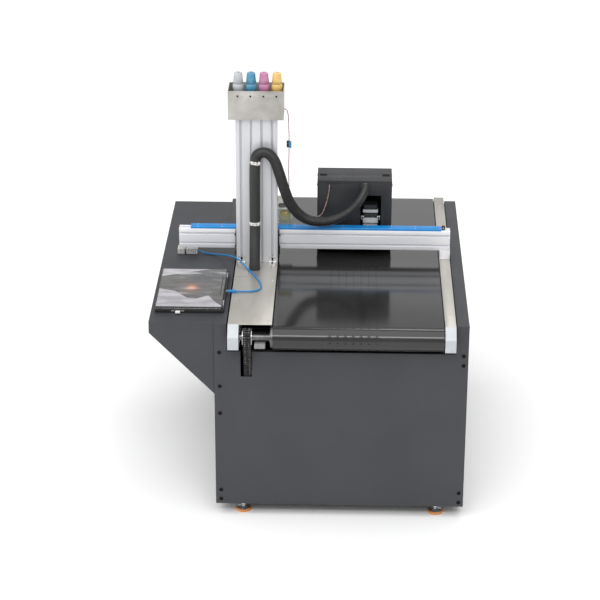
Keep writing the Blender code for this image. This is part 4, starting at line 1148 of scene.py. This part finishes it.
def make_x_drive():
    """Carriage motor on its folded bracket, the brass pulley and the idler."""
    low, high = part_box("x_motor")
    pulley_low, pulley_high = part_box("x_pulley")
    centre = Vector(((low.x + high.x) / 2, 0, (pulley_low.z + pulley_high.z) / 2))
    front = 0.052
    work = bmesh.new()
    boss = round_loop((centre.x, centre.z), 0.0192, 32)
    outline = [(low.x, low.z), (high.x, low.z), (high.x, high.z), (low.x, high.z)]
    add_prism(work, outline, "Y", front, front + 0.0055, [boss])
    add_box(work, (low.x, low.y, low.z), (high.x, front, low.z + 0.005))
    add_box(work, (low.x, low.y, low.z), (high.x, low.y + 0.005, low.z + 0.040))
    weld(work)
    for side in (low.x, high.x - 0.003):
        add_prism(work, [(low.y + 0.004, low.z + 0.004), (front + 0.001, low.z + 0.004),
                         (low.y + 0.004, low.z + 0.038)], "X",
                  side, side + 0.003)
    piece("x_motor_bracket", work, ZINC, "machine", ["x_motor"], edge=0.0006)
    caps, stack = bmesh.new(), bmesh.new()
    add_motor(caps, stack, (centre.x, 0, centre.z), "Y", NEMA_HALF, front + 0.0058, high.y, 0.0095)
    weld(caps)
    add_box(stack, (centre.x - 0.010, high.y - 0.016, high.z - 0.0015),
            (centre.x + 0.010, high.y - 0.004, high.z + 0.0), 0.0005)
    piece("x_motor_caps", caps, BLACK_COAT, "machine", edge=0.0006)
    piece("x_motor_stack", stack, LAMINATION_Y, "machine", edge=0.0004)
    work = bmesh.new()
    add_turned(work, [(0, low.y + 0.009), (0.0040, low.y + 0.009), (0.0040, front + 0.003),
                      (0.0110, front + 0.003),
                      (0.0190, front + 0.0042), (0.0190, front + 0.006), (0, front + 0.006)],
               (centre.x, 0, centre.z), (0, 1, 0), 32)
    piece("x_motor_shaft", work, STEEL, "machine")
    places = [(centre.x + a * NEMA_BOLT, front, centre.z + b * NEMA_BOLT) for a in (-1, 1) for b in (-1, 1)]
    screws("x_motor_screws", places, (0, -1, 0), "machine", STEEL, 0.0038, 0.004, cap=True)
    work = bmesh.new()
    y0, y1 = pulley_low.y, pulley_high.y
    reach = (pulley_high.x - pulley_low.x) / 2
    body = [(0.0044, y0), (reach - 0.0006, y0), (reach, y0 + 0.0006), (reach, y0 + 0.0018),
            (reach - 0.0004, y0 + 0.0022),
            (0.0157, y0 + 0.0022)]
    add_turned(work, body + [(0.0157, y1 - 0.0022), (reach - 0.0004, y1 - 0.0022), (reach, y1 - 0.0018),
                             (reach, y1 - 0.0006),
                             (reach - 0.0006, y1), (0.0044, y1), (0.0044, y0)], (centre.x, 0, centre.z),
               (0, 1, 0), 40)
    for i in range(32):
        angle = math.tau * i / 32
        spot = Vector((centre.x + 0.0158 * math.cos(angle), 0, centre.z + 0.0158 * math.sin(angle)))
        add_turned(work, [(0, y0 + 0.0021), (0.0009, y0 + 0.0021), (0.0009, y1 - 0.0021), (0, y1 - 0.0021)],
                   spot, (0, 1, 0), 8)
    piece("x_pulley_look", work, BRASS, "x_pulley", ["x_pulley"])
    low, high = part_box("idler_pulley")
    centre = Vector(((low.x + high.x) / 2, 0, (low.z + high.z) / 2))
    reach = (high.x - low.x) / 2
    work = bmesh.new()
    add_turned(work, [(0.0038, low.y), (reach, low.y), (reach, low.y + 0.0014),
                      (reach - 0.0011, low.y + 0.002),
                      (reach - 0.0011, high.y - 0.002), (reach, high.y - 0.0014), (reach, high.y),
                      (0.0038, high.y),
                      (0.0038, low.y)], centre, (0, 1, 0), 32)
    piece("idler_pulley_look", work, BLACK_PLASTIC, "idler_pulley", ["idler_pulley"])
    work = bmesh.new()
    add_turned(work, [(0, low.y + 0.0012), (0.0014, low.y + 0.0012, 6), (0.0016, low.y, 6), (0.0032, low.y),
                      (0.0036, low.y + 0.0006),
                      (0.0036, high.y - 0.0006), (0.0032, high.y), (0, high.y)], centre, (0, 1, 0), 24)
    piece("idler_bearing", work, STEEL, "idler_pulley")


def make_ink_tray():
    skin("ink_tray", TRAY_STEEL, 0.0006)
    low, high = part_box("ink_tray")
    work = bmesh.new()
    for x in (low.x + 0.0022, high.x - 0.0142):
        add_box(work, (x, high.y - 0.0038, low.z + 0.004), (x + 0.012, high.y - 0.0022, high.z - 0.001),
                0.0004)
        add_box(work, (x, low.y + 0.0022, low.z + 0.004), (x + 0.012, low.y + 0.0038, high.z - 0.001),
                0.0004)
    piece("tray_corner_flanges", work, TRAY_STEEL, "machine")
    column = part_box("column")
    places = [(x, (column[0].y + column[1].y) / 2, low.z + 0.002) for x in (-0.3075, -0.1225)]
    screws("tray_floor_screws", places, (0, 0, 1), "machine", STEEL, 0.0045, 0.003)
    places = [((bottle[0].x + bottle[1].x) / 2, low.y, high.z - 0.020)
              for bottle in (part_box(f"ink_bottle_{ink}") for ink in INKS)]
    screws("tray_front_screws", places, (0, -1, 0), "machine", radius=0.0036, height=0.0016)


def make_bottles():
    """Ink bottles: moulded body with a foot bead, shoulder, ribbed collar and a tapered ribbed cap."""
    for ink, (dark, light) in INKS.items():
        node = f"ink_bottle_{ink}"
        body = BODY_OF[node]
        low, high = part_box(node)
        centre = (*middle_of(low, high)[:2], 0)
        reach = (high.x - low.x) / 2
        floor, top = low.z, high.z
        shell = surface(f"ink_{ink}_bottle", dark, light, (0.16, 0.28), patch=0.03, height=0.000004,
                        Coat_Weight=0.3, Coat_Roughness=0.08)
        deep = surface(f"ink_{ink}_cap", [c * 0.62 for c in dark], [c * 0.75 for c in light], (0.28, 0.40),
                       patch=0.01)
        work = bmesh.new()
        profile = [(0, floor + 0.002), (reach * 0.70, floor + 0.002), (reach * 0.76, floor),
                   (reach * 0.93, floor),
                   (reach, floor + 0.0018), (reach, floor + 0.0060), (reach - 0.0006, floor + 0.0068),
                   (reach - 0.0006, 1.518),
                   (reach, 1.5190), (reach, 1.5230), (reach * 0.985, 1.5290), (reach * 0.92, 1.5345),
                   (reach * 0.80, 1.5385),
                   (reach * 0.72, 1.5400), (0, 1.5400)]
        add_turned(work, profile, centre, steps=40)
        piece(f"{node}_body", work, shell, body, [node])
        work = bmesh.new()
        collar = [(0, 1.5395), (0.0188, 1.5395), (0.0194, 1.5402), (0.0194, 1.5462), (0.0186, 1.5472),
                  (0, 1.5472)]
        add_turned(work, collar, centre, steps=40)
        for i in range(28):
            angle = math.tau * i / 28
            spot = (centre[0] + 0.0190 * math.cos(angle), centre[1] + 0.0190 * math.sin(angle), 0)
            add_turned(work, [(0, 1.5403), (0.0009, 1.5405), (0.0009, 1.5459), (0, 1.5461)], spot, steps=6)
        piece(f"{node}_collar", work, deep, body)
        work = bmesh.new()
        cap = [(0, 1.5468), (0.0182, 1.5468), (0.0186, 1.5476), (0.0150, top - 0.0030),
               (0.0143, top - 0.0012), (0.0128, top - 0.0002),
               (0.0062, top - 0.0002), (0.0056, top - 0.0012), (0.0030, top - 0.0012),
               (0.0024, top - 0.0022), (0, top - 0.0022)]
        add_turned(work, cap, centre, steps=40)
        for i in range(20):
            angle = math.tau * i / 20
            foot = Vector((centre[0] + 0.0181 * math.cos(angle), centre[1] + 0.0181 * math.sin(angle),
                           1.5485))
            tip = Vector((centre[0] + 0.0152 * math.cos(angle), centre[1] + 0.0152 * math.sin(angle),
                          top - 0.0038))
            add_tube(work, [foot, foot.lerp(tip, 0.5), tip], 0.0008, 6)
        piece(f"{node}_cap", work, shell, body)
        work = bmesh.new()
        add_turned(work, [(0, top - 0.0020), (0.0040, top - 0.0020), (0.0036, top - 0.0002), (0.0016, top),
                          (0, top - 0.0008)],
                   (centre[0] + 0.0025, centre[1] - 0.004, 0), steps=18)
        piece(f"{node}_vent_plug", work, BLACK_PLASTIC, body)


# ---------------------------------------------------------------- carriage
def make_carriage():
    skin("slider_plate", STEEL, 0.0006)
    hood_low, hood_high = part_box("hood")
    skin("hood", BLACK_COAT, 0.0010, 3)
    skin("hood_lid", BLACK_COAT, 0.0008)
    inset = 0.020
    depths = (hood_low.y + inset, hood_high.y - inset)
    heights = (hood_low.z + inset, hood_high.z - inset)
    for name, x, side in (("right", hood_high.x, 1), ("left", hood_low.x, -1)):
        places = [(x, y, z) for y in depths for z in heights]
        screws(f"hood_{name}_screws", places, (side, 0, 0), "carriage", radius=0.0045, height=0.0022)
    places = [(x, hood_high.y, z) for x in (hood_low.x + 0.025, hood_high.x - 0.025)
              for z in (hood_low.z + 0.025, hood_high.z - 0.060)]
    screws("hood_rear_screws", places, (0, 1, 0), "carriage", radius=0.0045, height=0.0022)
    work = bmesh.new()
    vent_y = (0.095, 0.170)
    for i in range(6):
        z = 0.905 + i * 0.016
        for x in (hood_high.x - 0.0001, hood_low.x - 0.0005):
            add_box(work, (x, vent_y[0], z), (x + 0.0006, vent_y[1], z + 0.0065), 0.0002)
    piece("hood_side_vents", work, SOCKET_DARK, "carriage")
    hinge_y, hinge_z = hood_high.y, hood_high.z
    lid_low, lid_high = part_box("hood_lid")
    work = bmesh.new()
    for x in (lid_low.x + 0.008, lid_high.x - 0.038):
        add_box(work, (x - 0.001, 0.109, lid_low.z - 0.009), (x + 0.031, 0.133, lid_low.z), 0.0004)
    piece("lid_grip_cups", work, SOCKET_DARK, "hood_lid")
    work = bmesh.new()
    for x in (lid_low.x + 0.008, lid_high.x - 0.038):
        add_box(work, (x + 0.003, 0.134, lid_high.z - 0.0006), (x + 0.027, 0.146, lid_high.z + 0.0022),
                0.0010, 2)
    piece("lid_grip_bars", work, BLACK_PLASTIC, "hood_lid")
    barrel = [(0, -0.006), (0.0026, -0.006), (0.0026, 0.006), (0, 0.006)]
    leaves, knuckles = bmesh.new(), bmesh.new()
    for x in (hood_low.x + 0.050, hood_high.x - 0.050):
        for i in (-1, 1):
            add_turned(leaves, barrel, (x + i * 0.0125, hinge_y, lid_low.z), (1, 0, 0), 16)
        add_box(leaves, (x - 0.018, hinge_y, hinge_z - 0.016),
                (x + 0.018, hinge_y + 0.0012, hinge_z - 0.001), 0.0004)
        add_turned(knuckles, barrel, (x, hinge_y, lid_low.z), (1, 0, 0), 16)
    piece("lid_hinge_leaves", leaves, STEEL, "carriage")
    piece("lid_hinge_knuckles", knuckles, STEEL, "hood_lid")


def make_lift_drive():
    """Stepper on its bright bracket with two ears, seen through the hood's window, and the lead screw."""
    low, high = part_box("z_motor")
    x, y, _ = middle_of(low, high)
    caps, stack, bright = bmesh.new(), bmesh.new(), bmesh.new()
    add_motor(caps, stack, (x, y, 0), "Z", NEMA_HALF, 0.9545, high.z, 0.0125)
    add_prism(bright, [(x - 0.0293, y - 0.0293), (x + 0.0293, y - 0.0293), (x + 0.0293, y + 0.0293),
                       (x - 0.0293, y + 0.0293)], "Z",
              0.9720, 0.9840)
    add_box(bright, (x - 0.030, y - 0.0300, low.z + 0.0010), (x + 0.030, y + NEMA_HALF, low.z + 0.0215))
    for side in (-0.037, 0.026):
        add_box(bright, (x + side, y - 0.0315, low.z + 0.0160),
                (x + side + 0.012, y - 0.0265, low.z + 0.0310))
    piece("z_motor_caps", caps, BLACK_COAT, "carriage", ["z_motor"], edge=0.0006)
    piece("z_motor_stack", stack, LAMINATION, "carriage", edge=0.0004)
    piece("z_motor_band", bright, END_GREY, "carriage", edge=0.0008)
    work = bmesh.new()
    add_box(work, (x - NEMA_HALF, y - NEMA_HALF, low.z), (x + NEMA_HALF, y + NEMA_HALF, low.z + 0.0098),
            0.0012, 2)
    for a in (-1, 1):
        for b in (-1, 1):
            add_turned(work, [(0, low.z + 0.0230), (0.0045, low.z + 0.0230), (0.0045, 0.9548), (0, 0.9548)],
                       (x + a * NEMA_BOLT, y + b * NEMA_BOLT, 0), steps=16)
    piece("z_motor_spacers", work, SCREW_BLACK, "carriage")
    places = [(x + a * 0.031, y - 0.0315, low.z + 0.0235) for a in (-1, 1.03)]
    screws("z_bracket_screws", places, (0, -1, 0), "carriage", SCREW_BLACK, 0.0034, 0.003,
           cap=True)
    low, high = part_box("lead_screw")
    turns = int((high.z - low.z - 0.004) / 0.002)
    profile = [(0, low.z), (0.0028, low.z), (0.0034, low.z + 0.0008)]
    for i in range(turns):
        z = low.z + 0.002 + i * 0.002
        profile += [(0.0034, z), (0.0040, z + 0.0005), (0.0040, z + 0.0010), (0.0034, z + 0.0015)]
    work = bmesh.new()
    add_turned(work, profile + [(0.0034, high.z), (0, high.z)], (x, y, 0), steps=20)
    piece("lead_screw_look", work, STEEL, "lead_screw", ["lead_screw"], smooth=50)


def make_print_unit():
    """Base plate with the printing block through it, its manifold, and the finned lamp."""
    work = bmesh.new()
    low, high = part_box("print_head")
    plate_low, plate_top = 0.824, 0.828
    window = [(0.080, 0.100), (0.165, 0.100), (0.165, 0.180), (0.080, 0.180)]
    outline = [(low.x, low.y), (high.x, low.y), (high.x, high.y), (low.x, high.y)]
    holes = [round_loop((0.227 + side, 0.103), 0.0045, 20) for side in (-0.021, 0.0, 0.021)]
    add_prism(work, outline, "Z", plate_low, plate_top, holes + [window])
    weld(work)
    piece("head_plate", work, STEEL, "print_unit", ["print_head"])
    work = bmesh.new()
    add_box(work, (0.0805, 0.1005, low.z + 0.0012), (0.1645, 0.1795, 0.842), 0.0008, 2)
    add_box(work, (0.086, 0.106, 0.842), (0.159, 0.174, high.z - 0.008), 0.0020, 3)
    for i in range(4):
        x = 0.0975 + i * 0.0165
        add_turned(work, [(0, high.z - 0.008), (0.0050, high.z - 0.008), (0.0050, high.z - 0.004),
                          (0.0026, high.z - 0.003),
                          (0.0026, high.z), (0, high.z)], (x, 0.140, 0), steps=20)
    piece("head_block", work, BLACK_PLASTIC, "print_unit")
    work = bmesh.new()
    add_box(work, (0.0845, 0.1045, low.z), (0.1605, 0.1755, low.z + 0.0013), 0.0003)
    piece("nozzle_plate", work, STEEL, "print_unit")
    low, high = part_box("uv_lamp")
    work = bmesh.new()
    add_box(work, (low.x, low.y, low.z), (high.x, high.y, low.z + 0.028), 0.0010, 2)
    fins = 12
    pitch = (high.y - low.y - 0.002) / (fins - 1)
    for i in range(fins):
        y = low.y + i * pitch
        add_box(work, (low.x + 0.001, y, low.z + 0.027), (high.x - 0.001, y + 0.002, high.z), 0.0004)
    piece("uv_lamp_look", work, ALUMINIUM_X, "print_unit", ["uv_lamp"])


def make_gland():
    """Hexagon nut against the hood, and a fluted dome nut round the conduit."""
    low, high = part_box("hose_gland")
    x, _, z = middle_of(low, high)
    length = high.y - low.y
    work = bmesh.new()
    profile = [(0, 0), (0.0172, 0), (0.0208, 0.0009, 6), (0.0208, 0.0052, 6), (0.0172, 0.0060),
               (0.0186, 0.0062), (0.0196, 0.0070),
               (0.0196, length - 0.0035), (0.0184, length - 0.0008), (0.0170, length), (0, length)]
    add_turned(work, profile, (x, high.y, z), (0, -1, 0), 48)
    for i in range(18):
        angle = math.tau * i / 18
        spot = Vector((x + 0.0193 * math.cos(angle), 0, z + 0.0193 * math.sin(angle)))
        add_turned(work, [(0, low.y + 0.0040), (0.0011, low.y + 0.0042), (0.0011, high.y - 0.0072),
                          (0, high.y - 0.0070)], spot,
                   (0, 1, 0), 8)
    piece("hose_gland_look", work, GLAND_BLACK, "carriage", ["hose_gland"])


# ---------------------------------------------------------------- laptop and hub
def make_laptop():
    """Closed laptop with a keyboard and screen inside, and packing film over its lid."""
    low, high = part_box("laptop_base")
    lid_low, lid_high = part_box("laptop_lid")
    keys_x = (low.x + 0.104, high.x - 0.030)
    keys_y = (low.y + 0.040, high.y - 0.040)
    well = high.z - 0.0022
    work = bmesh.new()
    add_box(work, low, (high.x, high.y, well), 0.0020, 3)
    rim = [((low.x, low.y), (high.x, keys_y[0])), ((low.x, keys_y[1]), (high.x, high.y)),
           ((low.x, keys_y[0]), (keys_x[0], keys_y[1])), ((keys_x[1], keys_y[0]), (high.x, keys_y[1]))]
    inset = 0.0006
    for (x0, y0), (x1, y1) in rim:
        x0, x1 = max(x0, low.x + inset), min(x1, high.x - inset)
        y0, y1 = max(y0, low.y + inset), min(y1, high.y - inset)
        add_box(work, (x0, y0, well - 0.0015), (x1, y1, high.z))
    pad_y = (low.y + high.y) / 2
    piece("laptop_base_look", work, BLACK_PLASTIC, "machine", ["laptop_base"])
    work = bmesh.new()
    rows, columns = 6, 17
    row = (keys_x[1] - keys_x[0] - 0.003) / rows
    column = (keys_y[1] - keys_y[0] - 0.003) / columns
    for i in range(rows):
        for j in range(columns):
            x = keys_x[0] + 0.0025 + i * row
            y = keys_y[0] + 0.0025 + j * column
            add_box(work, (x, y, well - 0.0002), (x + row - 0.0025, y + column - 0.0022, high.z - 0.0004),
                    0.0005)
    piece("laptop_keys", work, KEY_BLACK, "machine")
    work = bmesh.new()
    add_box(work, (low.x + 0.016, pad_y - 0.055, high.z - 0.0004),
            (low.x + 0.090, pad_y + 0.055, high.z + 0.0001), 0.0001)
    piece("laptop_touch_pad", work, GLOSS_BLACK, "machine")
    work = bmesh.new()
    for y in (low.y + 0.070, low.y + 0.110, low.y + 0.150):
        add_box(work, (low.x - 0.0002, y, low.z + 0.005), (low.x + 0.0004, y + 0.014, low.z + 0.0105),
                0.0001)
    for x in (low.x + 0.060, low.x + 0.095):
        add_box(work, (x, low.y - 0.0002, low.z + 0.005), (x + 0.014, low.y + 0.0004, low.z + 0.0105),
                0.0001)
    piece("laptop_ports", work, STEEL, "machine")
    shell_top = lid_high.z - 0.0012
    work = bmesh.new()
    add_box(work, lid_low, (lid_high.x, lid_high.y, shell_top), 0.0022, 3)
    piece("laptop_lid_look", work, GLOSS_BLACK, "laptop_lid", ["laptop_lid"])
    work = bmesh.new()
    add_box(work, (lid_low.x + 0.012, lid_low.y + 0.010, lid_low.z - 0.0001),
            (lid_high.x - 0.020, lid_high.y - 0.010, lid_low.z + 0.0006),
            0.0001)
    piece("laptop_screen", work, plain("dark_screen", (0.008, 0.009, 0.011), 0.08), "laptop_lid")
    work = bmesh.new()
    for y in (low.y + 0.050, high.y - 0.050):
        add_turned(work, [(0, -0.022), (0.0042, -0.022), (0.0042, 0.022), (0, 0.022)],
                   (lid_high.x + 0.0012, y, high.z + 0.0018),
                   (0, 1, 0), 18)
    piece("laptop_hinges", work, STEEL, "laptop_lid")
    work = bmesh.new()
    add_box(work, (lid_low.x - 0.0002, lid_low.y - 0.0004, lid_low.z + 0.0006),
            (lid_high.x - 0.004, lid_low.y + 0.001, lid_low.z + 0.0018),
            0.0002)
    piece("laptop_edge_line", work, STEEL, "laptop_lid")
    make_film(lid_low, lid_high, shell_top)


def film_reflection_zone(u, v):
    """1 in the front band and the rear wedge of the film, which are painted pale as a reflection, and 0 in
    the dark print between.
    """
    border = FILM_REFLECTION_BAND[-1][1]
    for (u0, v0), (u1, v1) in zip(FILM_REFLECTION_BAND, FILM_REFLECTION_BAND[1:]):
        if u0 <= u <= u1:
            border = v0 + (v1 - v0) * (u - u0) / (u1 - u0)
    front = border - v
    rear = v - (FILM_REFLECTION_WEDGE[0] + FILM_REFLECTION_WEDGE[1] * u)
    return min(1.0, max(0.0, 0.5 + 10 * max(front, rear)))


def make_film(lid_low, lid_high, shell_top):
    """Waved film on the lid: a dark printed middle between a front band and a rear wedge painted pale as a
    reflection.
    """
    inset = 0.003
    x0, x1 = lid_low.x + inset, lid_high.x - inset
    y0, y1 = lid_low.y + inset, lid_high.y - inset
    columns, rows = 64, 92
    work = bmesh.new()
    zone = work.verts.layers.float.new("zone")
    grid = []
    for i in range(columns + 1):
        line = []
        for j in range(rows + 1):
            u, v = i / columns, j / rows
            x, y = x0 + (x1 - x0) * u, y0 + (y1 - y0) * v
            wave = noise.fractal(Vector((x * 22, y * 14, 0.4)), 1.0, 2.0, 3)
            fade = min(1.0, 10 * min(u, 1 - u, v, 1 - v))
            corner = work.verts.new((x, y, shell_top + 0.0005 + 0.0006 * fade * (0.5 + 0.5 * wave)))
            # The zone marks where the pale painted reflection lies.
            corner[zone] = film_reflection_zone(u, v)
            line.append(corner)
        grid.append(line)
    for i in range(columns):
        for j in range(rows):
            work.faces.new((grid[i][j], grid[i + 1][j], grid[i + 1][j + 1], grid[i][j + 1]))
    centre = (x0 + (x1 - x0) * 0.50, y0 + (y1 - y0) * 0.50, shell_top)
    printed = printed_film_with_painted_light(centre, (0.070, 0.085, 0.05))
    piece("laptop_film", work, printed, "laptop_lid", smooth=60)
    work = bmesh.new()
    across = x1 - 0.012
    add_box(work, (across, y0 + 0.110, shell_top), (across + 0.004, y0 + 0.285, shell_top + 0.00115),
            0.0004)
    piece("laptop_film_slot", work, GLOSS_BLACK, "laptop_lid")


def make_hub():
    """Two ribbed adapter blocks side by side, and the dongle in the laptop."""
    low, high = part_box("usb_hub")
    split = low.x + 0.0285
    gap = 0.0065
    ribs, core = bmesh.new(), bmesh.new()
    for x0, x1, count in ((low.x, split, 5), (split + gap, high.x, 6)):
        add_box(core, (x0 + 0.0006, low.y + 0.0006, low.z), (x1 - 0.0006, high.y - 0.0006, high.z - 0.0018),
                0.0012, 2)
        pitch = (x1 - x0) / count
        for i in range(count):
            x = x0 + pitch * i
            add_box(ribs, (x, low.y, low.z + 0.001), (x + pitch * 0.60, high.y, high.z), 0.0009, 2)
    add_box(core, (split - 0.001, low.y + 0.010, low.z + 0.004),
            (split + gap + 0.001, high.y - 0.010, high.z - 0.006), 0.001)
    piece("usb_hub_ribs", ribs, PALE_PLASTIC, "machine", ["usb_hub"])
    piece("usb_hub_core", core, GREY_PLASTIC, "machine")
    low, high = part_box("usb_dongle")
    work = bmesh.new()
    add_box(work, low, (high.x, high.y - 0.004, high.z), 0.0014, 3)
    add_box(work, (low.x + 0.003, high.y - 0.0045, low.z + 0.0015),
            (high.x - 0.003, high.y, high.z - 0.0015), 0.0003)
    piece("usb_dongle_look", work, PALE_PLASTIC, "machine", ["usb_dongle"])


make_camera()
make_studio()
make_hose()
make_ties()
make_usb_cable()
make_wires()
make_cabinet()
make_power_inlet()
make_feet()
make_belt()
make_conveyor_frame()
make_rollers()
make_shaft_bracket()
make_sprockets()
make_chain()
make_gantry()
make_belt_cover()
make_x_rail()
make_x_drive()
make_ink_tray()
make_bottles()
make_carriage()
make_lift_drive()
make_print_unit()
make_gland()
make_laptop()
make_hub()
